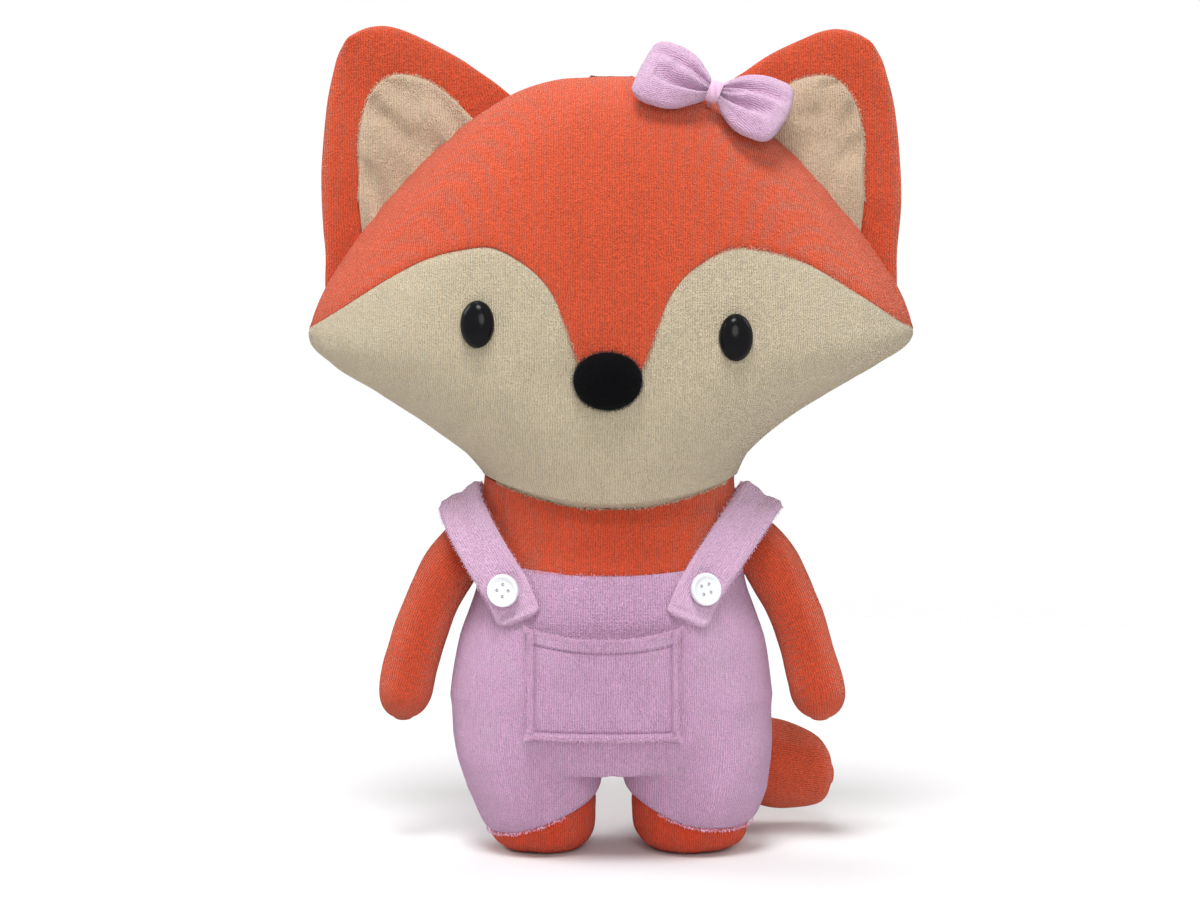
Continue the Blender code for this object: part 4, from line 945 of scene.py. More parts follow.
def settle(shader, **values):
    """Set sockets that have one value all over: sheen_weight is the Sheen Weight."""
    for name, value in values.items():
        words = " ".join(word.upper() if word == "ior" else word.capitalize() for word in name.split("_"))
        shader.inputs[words].default_value = (*value, 1.0) if isinstance(value, tuple) else value


def velour(name, colour, nap, sheen, ribs=1.0, contrast=1.0):
    """Short cut pile over knitted ribs: tufts and ribs in relief, with painted shade where they are low, random
    patches of tone, and a pale nap.
    """
    made, nodes, links, shader = shader_tree(name, 0.95)
    cloth = nodes.new("ShaderNodeUVMap")
    cloth.uv_map = "weave"
    place = nodes.new("ShaderNodeTexCoord").outputs["Object"]
    parts = nodes.new("ShaderNodeSeparateXYZ")
    links.new(cloth.outputs[0], parts.inputs[0])
    drift = noise_node(nodes, links, place, WANDER_SIZE)
    across = math_node(nodes, links, "MULTIPLY_ADD", parts.outputs[0], TAU / RIB)
    links.new(math_node(nodes, links, "MULTIPLY", drift, WANDER), across.node.inputs[2])
    wave = math_node(nodes, links, "SINE", across)
    stitch = math_node(nodes, links, "SINE", math_node(nodes, links, "MULTIPLY", parts.outputs[1], TAU / COURSE))
    knit = math_node(nodes, links, "MULTIPLY", ranged(nodes, links, wave, -1.0, 1.0),
                     ranged(nodes, links, stitch, -1.0, 1.0, COURSE_LOW, 1.0))
    pile = ranged(nodes, links, noise_node(nodes, links, place, PILE, 3.0), *PILE_RANGE)
    tuft = ranged(nodes, links, noise_node(nodes, links, place, 3.0 * PILE, 3.0), *PILE_RANGE)
    cloud = ranged(nodes, links, noise_node(nodes, links, place, CLOUD, 3.0), *CLOUD_RANGE)
    high = RELIEF_WEIGHTS
    height = add_up(nodes, links, (knit, high[0] * ribs), (pile, high[1]), (tuft, high[2]))
    share = SHADE_AND_PATCH_WEIGHTS
    # Painted shade: the colour is darker where the pile, tufts and ribs are low, over random patches.
    shade_and_patches = add_up(nodes, links, (pile, share[0]), (tuft, share[1]), (knit, share[2] * ribs), (cloud, share[3]))
    deep, pale = scaled(colour, 1.0 - DEEP_SHARE * contrast), scaled(colour, 1.0 + PALE_SHARE * contrast)
    links.new(colour_mix(nodes, links, shade_and_patches, deep, pale), shader.inputs["Base Color"])
    relief(nodes, links, shader, height, *CLOTH_RELIEF)
    settle(shader, specular_ior_level=0.10, sheen_weight=sheen, sheen_roughness=0.40, sheen_tint=nap)
    return made


def fibre(name, colour):
    """Single pile fibres, a little lighter than the cloth they stand on: a painted highlight of light caught on
    the pile.
    """
    made, nodes, links, shader = shader_tree(name, 0.9)
    place = nodes.new("ShaderNodeTexCoord").outputs["Object"]
    links.new(colour_mix(nodes, links, noise_node(nodes, links, place, 0.001), scaled(colour, 0.8),
                         scaled(colour, 1.25)), shader.inputs["Base Color"])
    settle(shader, sheen_weight=0.4, sheen_tint=(1.0, 0.9, 0.85))
    return made


def plastic(name, colour, roughness, grain, coat, gloss=None):
    """Moulded plastic with the faint unevenness of its mould."""
    made, nodes, links, shader = shader_tree(name, roughness)
    place = nodes.new("ShaderNodeTexCoord").outputs["Object"]
    cloud = noise_node(nodes, links, place, PLASTIC_CLOUD, 3.0)
    links.new(colour_mix(nodes, links, cloud, scaled(colour, 0.92), scaled(colour, 1.06)),
              shader.inputs["Base Color"])
    fine = noise_node(nodes, links, place, PLASTIC_GRAIN)
    links.new(ranged(nodes, links, fine, 0.0, 1.0, roughness * 0.8, roughness * 1.25), shader.inputs["Roughness"])
    relief(nodes, links, shader, cloud, 0.15, grain)
    settle(shader, coat_weight=coat, coat_roughness=0.05)
    if gloss is not None:
        settle(shader, specular_ior_level=gloss)
    return made


def thread(name, colour):
    """Twisted sewing thread."""
    made, nodes, links, shader = shader_tree(name, 0.6)
    place = nodes.new("ShaderNodeTexCoord").outputs["Object"]
    twist = nodes.new("ShaderNodeTexWave")
    twist.inputs["Scale"].default_value = 700.0
    twist.inputs["Distortion"].default_value = 2.0
    links.new(place, twist.inputs["Vector"])
    strands = twist.outputs["Fac"]
    links.new(colour_mix(nodes, links, strands, scaled(colour, 0.8), scaled(colour, 1.05)),
              shader.inputs["Base Color"])
    relief(nodes, links, shader, strands, 0.5, 0.0002)
    settle(shader, sheen_weight=0.3)
    return made


orange = velour("orange_velour_cloth", (0.720, 0.096, 0.038), (1.0, 0.62, 0.50), 0.50, 1.0, 1.0)
cream = velour("cream_velour_cloth", (0.640, 0.545, 0.385), (1.0, 0.95, 0.86), 0.30, 1.0, 0.65)
pink = velour("pink_velour_cloth", (0.640, 0.370, 0.570), (0.96, 0.86, 0.98), 0.40, 1.2, 0.75)
# A lighter copy of the pink cloth for the bow and straps: painted light where they face up into the lamps.
pink_painted_light = velour("pink_cloth_painted_light", (0.760, 0.480, 0.690), (1.0, 0.92, 1.0), 0.60, 0.7, 0.6)
# A darker, more orange copy of the cream cloth for the inner ears: painted orange light bounced from the ears,
# and painted shade in their folds.
cream_ear_painted_reflection = velour("cream_cloth_painted_reflection", (0.660, 0.490, 0.345), (1.0, 0.92, 0.84), 0.30, 0.8, 0.65)
# A darker copy of the orange cloth for the chest and arms: painted shade under the head.
orange_painted_shade = velour("orange_cloth_painted_shade", (0.640, 0.078, 0.031), (1.0, 0.60, 0.48), 0.45, 1.0, 1.0)
# A darker copy of the orange cloth for the feet: painted shade low down under the body.
orange_painted_foot_shade = velour("orange_cloth_painted_foot_shade", (0.660, 0.066, 0.026), (1.0, 0.50, 0.38), 0.30, 1.0, 1.0)
black_cloth = velour("black_velour_cloth", (0.0006, 0.0006, 0.0014), (0.10, 0.10, 0.14), 0.02, 0.3, 1.0)
# The fibre colours are lighter than their cloth: painted highlight along the seams and rims.
orange_fibre = fibre("orange_pile_fibre", (0.700, 0.130, 0.060))
cream_fibre = fibre("cream_pile_fibre", (0.660, 0.570, 0.420))
black_fibre = fibre("black_pile_fibre", (0.004, 0.004, 0.006))
pink_fibre = fibre("pink_pile_fibre", (0.760, 0.500, 0.680))
eye_black = plastic("eye_black_plastic", (0.004, 0.004, 0.005), 0.16, 0.00003, 0.0, gloss=0.10)
button_white = plastic("button_white_plastic", (0.78, 0.80, 0.84), 0.28, 0.00008, 0.3)
white_thread = thread("white_thread", (0.78, 0.76, 0.78))
pink_thread = thread("pink_thread", (0.80, 0.52, 0.72))


def dress(piece, body, slot, *nodes, fill=None):
    """Say what a piece rides on and which CAD nodes it stands for; slot, what it is made of, is not used.

    body is one body, to which the piece is attached, or a tuple of bodies and points, for which the piece's place
    is only baked into its mesh.
    """
    if isinstance(body, str):
        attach(piece, body)
    else:
        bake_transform(piece)
    if nodes:
        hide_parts(*nodes)
    return piece


# Head

FRONT_ANGLES = spread(190, 0.0, math.pi)
SEAM_DEPTH = 0.0006
SEAM_WIDTH = 0.0016
SIDE_SEAM_DEPTH = 0.0006
EDGE_SEAM_WIDTH = 0.0040
EYE_DENT = 0.0011
EYE_DENT_WIDTH = 0.0100
NOSE_DENT = 0.0016
NOSE_DENT_WIDTH = 0.0150
HEAD_LUMPS = ((0.048, 0.0010, 1), (0.016, 0.00030, 2))      # size, depth and seed
CROWN_FADE = 0.02         # length from the crown in which the seams grow to their full depth
CHIN_FADE = 0.008         # and from the chin
DISH_SHARES = (0.93, 0.80, 0.55)         # rows that run in over the neck's dish
LINING_LIFT = 0.0003
SLANT_MIN = 0.15
JAW_POWER = 1.5           # how the jaw's lean grows towards its sides
CROWN_NEAR = 0.005        # a panel that comes this near to the crown ends in it
BACK_SEAM_WIDTH = 0.0030


def oval_distance(points, x, z, half_width, half_height):
    """Distance from the rim of an oval on the face, none inside it."""
    reach = np.hypot((points[..., 0] - x) / half_width, (points[..., 2] - z) / half_height)
    return np.maximum(reach - 1.0, 0.0) * half_width


HEAD_RINGS = [head_level(position) for position in spread(200, 1.0, 0.0)]
HEAD_HEIGHTS = [ring[1] for ring in HEAD_RINGS]
# The stuffed jaw leans to the fox's right: heights, and how far each side moves outward
JAW_HEIGHTS = (0.1272, 0.1380, 0.1450, 0.1520, 0.1600, 0.1650, 0.1710, 0.1780, 0.1860, 0.1900)
JAW_RIGHT = (-0.0006, -0.0010, 0.0010, 0.0042, 0.0062, 0.0066, 0.0052, 0.0018, 0.0, 0.0)
JAW_LEFT = (-0.0012, -0.0018, -0.0022, -0.0016, -0.0006, 0.0004, 0.0, -0.0016, -0.0006, 0.0)


def head_places(points):
    return ring_places(points, HEAD_HEIGHTS, [ring[0] for ring in HEAD_RINGS],
                       [ring[2] * HEAD_FRONT_DEPTH for ring in HEAD_RINGS],
                       [ring[2] * HEAD_BACK_DEPTH for ring in HEAD_RINGS])


def jaw_lean(points):
    """Shape the jaw, and bring the panels together at the crown."""
    leaned = points.copy()
    side = points[..., 0]
    outward = np.where(side > 0.0, np.interp(points[..., 2], JAW_HEIGHTS, JAW_LEFT),
                       -np.interp(points[..., 2], JAW_HEIGHTS, JAW_RIGHT))
    reach = np.interp(points[..., 2], HEAD_HEIGHTS, [ring[0] for ring in HEAD_RINGS])
    leaned[..., 0] += outward * np.clip(np.abs(side) / np.maximum(reach, TINY), 0.0, 1.0) ** JAW_POWER
    if leaned[0, 0, 2] > CROWN_Z - CROWN_NEAR:
        crown = np.array([[[0.0, 0.0, CROWN_Z]]])
        leaned[0] = crown[0, 0] + (0.0, 0.0, VELOUR_LIFT - head_lumps(crown)[0, 0])
    return leaned


def head_lining(points, places, normals):
    """Rows that carry the head's lower edge in over the neck's dish."""
    return dish_rows(points, places, normals, LINING_LIFT)


def dish_rows(points, places, normals, lift, first=False):
    """Rows that run in over the neck's dish, from the last row of a grid or its first."""
    edge = points[0] if first else points[-1]
    rows = []
    for share in DISH_SHARES:
        row = edge.copy()
        row[:, :2] *= share
        row[:, 2] = [neck_height(x, y) + lift for x, y in row[:, :2]]
        rows.append(row)
    rows = np.array(rows[::-1] if first else rows)
    before, after = (len(rows), 0) if first else (0, len(rows))
    return (np.concatenate([rows, points] if first else [points, rows], axis=0),
            pad_places(places, before, after), pad_places(normals, before, after))


def seam_slant(edge):
    """For a distance measured along a column, the share that is square to a slanted seam."""
    steps = np.gradient(edge, axis=0)
    level = np.hypot(steps[:, 0], steps[:, 1])
    return np.maximum(level / np.maximum(np.linalg.norm(steps, axis=1), TINY), SLANT_MIN)


def forehead_line(share, angle):
    return head_surface(seam_position(angle) * share, angle)


def face_line(share, angle):
    start = seam_position(angle)
    return head_surface(start + (1.0 - start) * share, angle)


def head_lumps(points):
    return all_lumps(points, HEAD_LUMPS)


def side_seam(top, left, right):
    """Sink along the seam that joins the front of the head to its back."""
    return pinch(np.minimum(left, right), SIDE_SEAM_DEPTH, EDGE_SEAM_WIDTH) * np.clip(top / CROWN_FADE, 0.0, 1.0)


def forehead_sink(points):
    top, bottom, left, right = edge_distances(points)
    bottom = bottom * seam_slant(points[-1])
    return pinch(bottom, SEAM_DEPTH, SEAM_WIDTH) + side_seam(top, left, right) + head_lumps(points)


def face_sink(points):
    top, bottom, left, right = edge_distances(points)
    top = top * seam_slant(points[0])
    fade = np.clip(bottom / CHIN_FADE, 0.0, 1.0)
    sink = pinch(top, SEAM_DEPTH, SEAM_WIDTH) + side_seam(1.0, left, right)
    for x, z in ((EYE_LEFT_X, EYE_LEFT_Z), (-EYE_RIGHT_X, EYE_RIGHT_Z)):
        away = oval_distance(points, x, z, EYE_HALF_WIDTH, EYE_HALF_HEIGHT)
        sink = sink + pinch(away, EYE_DENT, EYE_DENT_WIDTH)
    away = oval_distance(points, NOSE_X, NOSE_Z, NOSE_HALF_WIDTH, NOSE_HALF_HEIGHT)
    sink = sink + pinch(away, NOSE_DENT, NOSE_DENT_WIDTH)
    return (sink + head_lumps(points)) * fade


def back_sink(points):
    top, bottom, left, right = edge_distances(points)
    fade = np.clip(bottom / CHIN_FADE, 0.0, 1.0)
    middle = pinch(np.abs(points[..., 0]), SIDE_SEAM_DEPTH, BACK_SEAM_WIDTH) * np.clip(top / CROWN_FADE, 0.0, 1.0)
    return (side_seam(top, left, right) + middle + head_lumps(points)) * fade


forehead = cloth_panel("forehead_cloth", forehead_line, spread(140), FRONT_ANGLES, orange,
                       edges="b", sink=forehead_sink, places=head_places, warp=jaw_lean)
dress(forehead, "head", "orange_velour", "forehead_panel", "head_filling", fill=0.85)
face = cloth_panel("face_cloth", face_line, spread(130), FRONT_ANGLES, cream,
                   edges="t", sink=face_sink, places=head_places, warp=jaw_lean, lining=head_lining)
dress(face, "head", "cream_velour", "face_panel", fill=0.85)
head_back = cloth_panel("head_back_cloth", head_surface, spread(150), spread(120, math.pi, TAU), orange,
                        edges="", sink=back_sink, places=head_places, warp=jaw_lean,
                        lining=head_lining)
dress(head_back, "head", "orange_velour", "head_back_panel", fill=0.85)


# Eyes and nose

def dome(name, width, height, rise, under, sides, rings, shade, power):
    """A rounded oval whose rim turns in under it."""
    rows = []
    for lean in spread(rings, -under, math.pi / 2.0):
        across = max(math.cos(lean), 0.0)
        up = math.sin(lean)
        lift = rise * (abs(up) ** power if up > 0.0 else up)
        rows.append([(width * across * math.cos(turn), height * across * math.sin(turn), lift)
                     for turn in spread(sides, 0.0, TAU)])
    points = np.array(rows)
    return grid_mesh(name, points, weave_places(points, 0), shade)


EYE_UNDER = 0.75          # how far an eye's rim turns in under it, as an angle
EYE_BLUNT = 0.85          # under 1 makes the dome blunter than an oval


def add_eye(word, x, z):
    eye = dome(word + "_eye_dome", EYE_HALF_WIDTH, EYE_HALF_HEIGHT, EYE_DOME, EYE_UNDER, 64, 24, eye_black,
               EYE_BLUNT)
    eye.matrix_world = on_face(x, z, GAP)
    return dress(eye, "head", "black_plastic", word + "_eye", word + "_eye_washer")


add_eye("left", EYE_LEFT_X, EYE_LEFT_Z)
add_eye("right", -EYE_RIGHT_X, EYE_RIGHT_Z)


def add_nose():
    """A small stuffed velour cushion, a little wider above, sewn down round its rim."""
    rows = []
    for reach in [1.02, 1.0] + [1.0 - (index / 22.0) ** 1.4 for index in range(1, 23)]:
        row = []
        for turn in spread(96, 0.0, TAU):
            wide = NOSE_HALF_WIDTH * (0.95 + 0.03 * math.sin(turn) - 0.02 * math.cos(2.0 * turn))
            x = NOSE_X + reach * wide * math.cos(turn)
            z = NOSE_Z + reach * NOSE_HALF_HEIGHT * math.sin(turn)
            puff = NOSE_EDGE + NOSE_PUFF * math.sqrt(max(1.0 - reach ** 2.4, 0.0))
            behind = 0.0016 if reach > 1.0 else 0.0
            row.append((x, -puff + behind, z))
        rows.append(row)
    points = np.array(rows)
    columns = {}
    for line in points:
        for point in line:
            key = (round(point[0], 4), round(point[2], 4))
            if key not in columns:
                columns[key] = head_front_y(*key)
            point[1] += columns[key]
    points[..., 1] += lumps(points, 0.006, 0.0004, 7)
    points[:, -1] = points[:, 0]
    points[-1] = points[-1, 0]
    away = points[1] - (NOSE_X, 0.0, NOSE_Z)
    away[:, 1] = 0.0
    add_fuzz("nose_pile", points[1], facing(FORWARD, len(away)), away, black_fibre, 9, 30.0, 0.0008, "head",
             "black_velour")
    return grid_mesh("nose_cushion", points, weave_places(points, 0), black_cloth)


dress(add_nose(), "head", "black_velour", "nose", fill=0.8)


# Pile fibres along the head's seams

def head_rim(position_of, angles):
    """Places and outward directions along a line on the head."""
    places = np.array([tuple(head_surface(position_of(angle), angle)) for angle in angles])
    near = np.array([tuple(head_surface(position_of(angle) + NEAR, angle)) for angle in angles])
    down = near - places
    along = np.gradient(places, axis=0)
    out = np.cross(along, down)
    out *= np.sign((out * (places - np.array([0.0, 0.0, 0.2]))).sum(axis=1, keepdims=True))
    return places, out, down


seam_line, seam_out, seam_down = head_rim(seam_position, spread(400, 0.02, math.pi - 0.02))
seam_down = -np.cross(seam_out, np.gradient(seam_line, axis=0))
seam_down *= np.sign(-seam_down[:, 2:3])
seam_line = seam_line - seam_out / np.linalg.norm(seam_out, axis=1, keepdims=True) * 0.0005
add_fuzz("brow_seam_pile", seam_line, seam_out, seam_down, orange_fibre, 1, 12.0, 0.0009, "head", "orange_velour")
add_fuzz("cheek_seam_pile", seam_line, seam_out, -seam_down, cream_fibre, 2, 4.0, 0.0008, "head", "cream_velour")
chin_line, chin_out = [], []
for chin_angle in spread(300, 0.0, math.pi):
    chin_spot = body_surface(0.0, chin_angle)
    chin_line.append((chin_spot.x * 1.008, chin_spot.y * 1.012, neck_height(chin_spot.x, chin_spot.y) + 0.0004))
    chin_out.append((chin_spot.x, chin_spot.y, 0.0))
add_fuzz("chin_pile", chin_line, chin_out, facing(DOWN, len(chin_line)), cream_fibre, 3, 16.0, 0.0013,
         "head", "cream_velour", keep=lambda roots: roots[:, 1] < -0.012)


# Ears

EAR_TUCK = 0.0050         # how far an ear's base runs in behind the head's seam
EAR_FLARE = 1.0           # its outer edge runs on straight down to the head
EAR_DROOP = {1: 0.0038, -1: 0.0018}     # the left ear stands a little lower
EAR_UNDER = 0.2           # the rows behind the head's seam reach this share below the base
EAR_RIM_THIN = (0.35, 0.03)             # how much an ear thins at its rim, and over what share
EAR_BASE_THIN = (0.25, 0.06)            # and at its base
EAR_BEND = (-0.001, 0.010)              # heights above an ear's base for a bend line, passed on but not used
EAR_LUMPS = ((0.016, 0.0011, 8), (0.007, 0.0003, 11))
INNER_EAR_FOLDS = (0.0085, 0.0052, 14)
INNER_EAR_LUMPS = (0.005, 0.0007, 17)
INNER_EAR_LIMITS = (-0.0012, 0.0022)    # depth and height of its folds
INNER_EAR_STRETCH = 1.25                # the folds run up the ear and lean a little
INNER_EAR_FLATTEN = 0.45
INNER_EAR_SLANT = 0.3
INNER_EAR_SETTLE = 0.0006
INNER_EAR_RIM = 0.006                   # length from the patch's sides in which the folds fade
INNER_EAR_TUCK = 0.0016                 # how far its sides turn in


def add_ear(side, word):
    form = EarFrame(side)
    shares = [-EAR_UNDER, -0.5 * EAR_UNDER, 0.0] + [1.0 - (1.0 - share) ** 1.5 for share in spread(60)[1:]]
    rows = []
    for share in shares:
        level = max(share, 0.0)
        centre, half, thickness = ear_level(form, level)
        if share == 1.0:
            half = thickness = 0.0
        ring = []
        for turn in spread(112, 0.0, TAU):
            across = math.cos(turn)
            depth = math.sin(turn)
            rim = 1.0 - EAR_RIM_THIN[0] * hump(1.0 - abs(across), EAR_RIM_THIN[1], 1.0)
            along = centre + half * across
            height = ear_height(form, along, level)
            if share < 0.0:
                drop = -(EAR_HALF_THICKNESS + EAR_TUCK) * share / EAR_UNDER
                height -= drop
                along += drop * EAR_FLARE * max(across, 0.0) ** 2
            height -= EAR_DROOP[side] * level ** 2
            tuck = 1.0 - EAR_BASE_THIN[0] * hump(level, EAR_BASE_THIN[1], 1.0)
            ring.append(form.point(along, -thickness * depth * rim * tuck, height))
        rows.append([tuple(point) for point in ring])
    points = np.array(rows)
    normals = grid_normals(points, True)
    if (normals[..., 1] * points[..., 1]).sum() < 0.0:
        normals = -normals
    face_share = np.abs(normals[..., 1:2])
    waves = all_lumps(points, EAR_LUMPS, side)
    points = points + normals * face_share * waves[..., None]
    points[:, -1] = points[:, 0]
    points[-1] = points[-1, 0]
    ear = grid_mesh(word + "_ear_cloth", points, points[..., ::2], orange)
    soften(ear, 10, lambda spot: (spot - form.near).dot(form.up) > form.bulge - 0.002)
    start, end = (tuple(form.point(0.5 * form.length, 0.0, form.bulge + step)) for step in EAR_BEND)
    held = ("head", word + "_ear_body", start, end)
    dress(ear, held, "orange_velour", word + "_ear", fill=0.25)
    add_inner_ear(form, side, word, held)


def add_inner_ear(form, side, word, held):
    """The cream patch, puffed and folded, its sides tucked in."""
    rows = []
    crossing = [math.sin(0.5 * math.pi * spot) for spot in spread(44, -1.0, 1.0)]
    crossing = [-1.0, -1.0] + crossing + [1.0, 1.0]
    for position in [-0.18, -0.12, -0.06] + spread(56):
        share, near, far = spline(INNER_EAR_SHARES, max(position, 0.0))
        far -= 0.62 * min(position, 0.0)
        centre, half, thickness = ear_level(form, share)
        row = []
        for across in crossing:
            along = (0.5 * (near + far) + 0.5 * across * (far - near)) * form.length
            along += 0.010 * form.length * max(across, 0.0)
            height = ear_height(form, along, share)
            height += 0.060 * min(position, 0.0)
            height -= EAR_DROOP[side] * max(share, 0.0) ** 2
            inside = max(1.0 - ((along - centre) / half) ** 2, 0.0)
            edge = min(1.0 - abs(across), (1.0 - max(position, 0.0)) * 2.5)
            puff = 1.0 - hump(edge, 0.10, 1.0)
            depth = -thickness * math.sqrt(inside) - 0.0002
            depth -= 0.0008 * min(edge / 0.02, 1.0) + puff * INNER_EAR_PUFF
            row.append(tuple(form.point(along, depth, height)))
        rows.append(row)
    points = np.array(rows)
    points[:, 0, 1] += INNER_EAR_TUCK
    points[:, -1, 1] += INNER_EAR_TUCK
    points[-1, :, 1] += 0.5 * INNER_EAR_TUCK
    run = points @ np.array(form.along)
    rise = points @ np.array(form.up)
    drawn = np.stack([INNER_EAR_STRETCH * run, 0.0 * run,
                      INNER_EAR_FLATTEN * rise + INNER_EAR_SLANT * run], axis=2)
    dimples = all_lumps(drawn, [INNER_EAR_FOLDS], side) + all_lumps(points, [INNER_EAR_LUMPS], side)
    inside = np.minimum(np.linalg.norm(points - points[:, :3].mean(axis=1, keepdims=True), axis=2),
                        np.linalg.norm(points - points[:, -3:].mean(axis=1, keepdims=True), axis=2))
    fade = np.clip(inside / INNER_EAR_RIM, 0.0, 1.0)
    points[..., 1] += np.clip(dimples, *INNER_EAR_LIMITS) * fade - INNER_EAR_SETTLE
    patch = grid_mesh(word + "_inner_ear_cloth", points, points[..., ::2], cream_ear_painted_reflection)
    dress(patch, held, "cream_velour", word + "_inner_ear")
    soften(patch, 4, lambda spot: True)
    rim = np.concatenate([points[3:, 2], points[-1, 2:-2], points[3:, -3][::-1]])
    middle = points[3:, 24].mean(axis=0)
    add_fuzz(word + "_inner_ear_pile", rim, facing(FORWARD, len(rim)), rim - middle, cream_fibre, 5 + side,
             14.0, 0.0009, held, "cream_velour")


add_ear(1, "left")
add_ear(-1, "right")


# Bow

LOOP_SWELL_SHARES = [(0.0, 0.0), (0.05, 0.18), (0.14, 0.42), (0.30, 0.72), (0.50, 0.92), (0.74, 1.0),
                     (0.90, 0.97), (1.0, 0.86)]


BOW_LUMPS = ((0.008, 0.0009, 20), (0.004, 0.00025, 24))
# Where across a loop, 1 the left and -1 the right, each of its folds begins and ends
FOLD_LINES = {1: {"upper": (0.42, 0.30), "middle": (0.02, 0.16), "lower": (-0.30, -0.20)},
              -1: {"upper": (0.30, 0.52), "middle": (0.02, 0.16), "lower": (-0.36, -0.22)}}
# The folds, negative, and the swells beside them: the line followed, how far beside it at both
# ends, from where to where along the loop, width and height
LOOP_FOLDS = (("upper", (0.0, 0.0), (0.02, 1.00), 0.16, -1.00),
              ("lower", (0.0, 0.0), (0.04, 0.80), 0.15, -1.35),
              ("middle", (0.0, 0.0), (0.02, 0.60), 0.09, -0.45),
              ("lower", (-0.34, -0.40), (0.02, 0.80), 0.18, 0.45),
              ("upper", (-0.26, -0.30), (0.02, 0.95), 0.16, 0.30))
LOOP_ROUND = {1: 0.05, -1: 0.02}                      # how far a loop's outer end is rounded
LOOP_SLANT = 0.05
LOOP_LAP = 0.0006         # how far a loop runs in under the wrap
WRAP_TURNS = 8
WRAP_STEPS = 28           # points in each turn
WRAP_STRAND = 0.00034     # radius of its thread
SHANK_STRAND = 0.00026
SHANK_PLACES = ((-0.0004, 0.0), (0.0004, 0.0), (0.0, 0.0005), (0.0, -0.0005))


def crease(across, reach, line, ends, width, depth):
    """A fold that runs out from the knot: line gives its place across at both of its ends."""
    share = (reach - ends[0]) / (ends[1] - ends[0])
    if share < -0.2 or share > 1.0:
        return 0.0
    spot = line[0] + (line[1] - line[0]) * share
    fade = min(1.0, (share + 0.2) / 0.3) * (1.0 - max(share, 0.0)) ** 0.55
    return depth * fade * hump(across - spot, width * (0.7 + 0.6 * share))


def loop_shape(reach, across, side):
    """Thickness share of a loop's front, with its folds and swells."""
    depth = 1.0
    for fold, beside, ends, width, height in LOOP_FOLDS:
        line = [place + shift for place, shift in zip(FOLD_LINES[side][fold], beside)]
        depth += crease(across, reach, line, ends, width, height)
    return depth


def add_bow():
    place = bow_frame()
    start = 0.5 * BOW_WRAP_SPAN - LOOP_LAP
    rise = BOW_LOOP_HALF_THICKNESS
    for side, word in ((1, "left"), (-1, "right")):
        rows = []
        for reach in [0.5 - 0.5 * math.cos(math.pi * share) for share in spread(70)]:
            swell = spline(LOOP_SWELL_SHARES, find_position(LOOP_SWELL_SHARES, reach))[1]
            tall = BOW_NECK_HALF_HEIGHT + swell * (BOW_LOOP_HALF_HEIGHT - BOW_NECK_HALF_HEIGHT)
            puff = min(reach / 0.35, 1.0)
            thick = BOW_NECK_HALF_THICKNESS + puff * (BOW_LOOP_HALF_THICKNESS - BOW_NECK_HALF_THICKNESS)
            close = math.sqrt(max(1.0 - reach ** 9, 0.0))
            row = []
            for turn in spread(128, 0.0, TAU):
                across = math.cos(turn)
                out = math.sin(turn)
                curl = abs(out) ** 0.8 * (1.0 if out > 0.0 else -1.0)
                folded = loop_shape(reach, across, side) if out > 0.0 else 1.0
                depth = thick * curl * close * folded
                long = 1.0 - LOOP_ROUND[side] * across * across + side * LOOP_SLANT * across
                along = side * (start + reach * BOW_LOOP_LENGTH * long)
                row.append((along, tall * across * (0.80 + 0.20 * close), depth + rise))
            rows.append(row)
        points = np.array(rows)
        points[..., 2] += all_lumps(points, BOW_LUMPS, side)
        points[:, -1] = points[:, 0]
        points[..., 2] = np.maximum(points[..., 2], 0.0)
        loop = grid_mesh("bow_" + word + "_loop_cloth", points, weave_places(points, 0), pink_painted_light)
        close_ends(loop)
        loop.matrix_world = place
        dress(loop, "head", "pink_velour", "bow_" + word + "_loop", fill=0.3)


def tube(name, path, radius, sides, shade):
    """A round strand along a path of points."""
    rows = []
    last = None
    for index, spot in enumerate(path):
        before = path[max(index - 1, 0)]
        after = path[min(index + 1, len(path) - 1)]
        along = (after - before).normalized()
        if last is None:
            last = along.orthogonal().normalized()
        last = (last - along * last.dot(along)).normalized()
        side = along.cross(last)
        rows.append([tuple(spot + last * (radius * math.cos(turn)) + side * (radius * math.sin(turn)))
                     for turn in spread(sides, 0.0, TAU)])
    ends = [[tuple(path[end])] * (sides + 1) for end in (0, -1)]
    points = np.array([ends[0], *rows, ends[1]])
    return grid_mesh(name, points, weave_places(points, 0), shade)


def add_wrap():
    """Several turns of thread round the pinched middle, and the shank that sews it down."""
    place = bow_frame()
    rise = BOW_LOOP_HALF_THICKNESS
    path = []
    for share in spread(WRAP_TURNS * WRAP_STEPS):
        along = (share - 0.5) * BOW_WRAP_SPAN
        bulge = BOW_WRAP_RADIUS * (1.0 - 0.35 * (2.0 * share - 1.0) ** 2)
        turn = TAU * WRAP_TURNS * share
        slant = 0.0004 * math.sin(turn + 1.0)
        path.append(Vector((along + slant, (BOW_NECK_HALF_HEIGHT + bulge) * math.cos(turn),
                            rise + (BOW_NECK_HALF_THICKNESS + bulge) * math.sin(turn))))
    strands = tube("bow_wrap_thread", path, WRAP_STRAND, 10, pink_thread)
    strands.matrix_world = place
    length = (place.translation - head_point_under(place)).length
    for count, (x, y) in enumerate(SHANK_PLACES):
        path = [Vector((x, y, z)) for z in (rise, 0.0, -length - 0.001)]
        stem = tube("bow_shank_thread_" + str(count), path, SHANK_STRAND, 8, pink_thread)
        stem.matrix_world = place
        dress(stem, "head", "thread")
    dress(strands, "head", "thread", "bow_wrap")


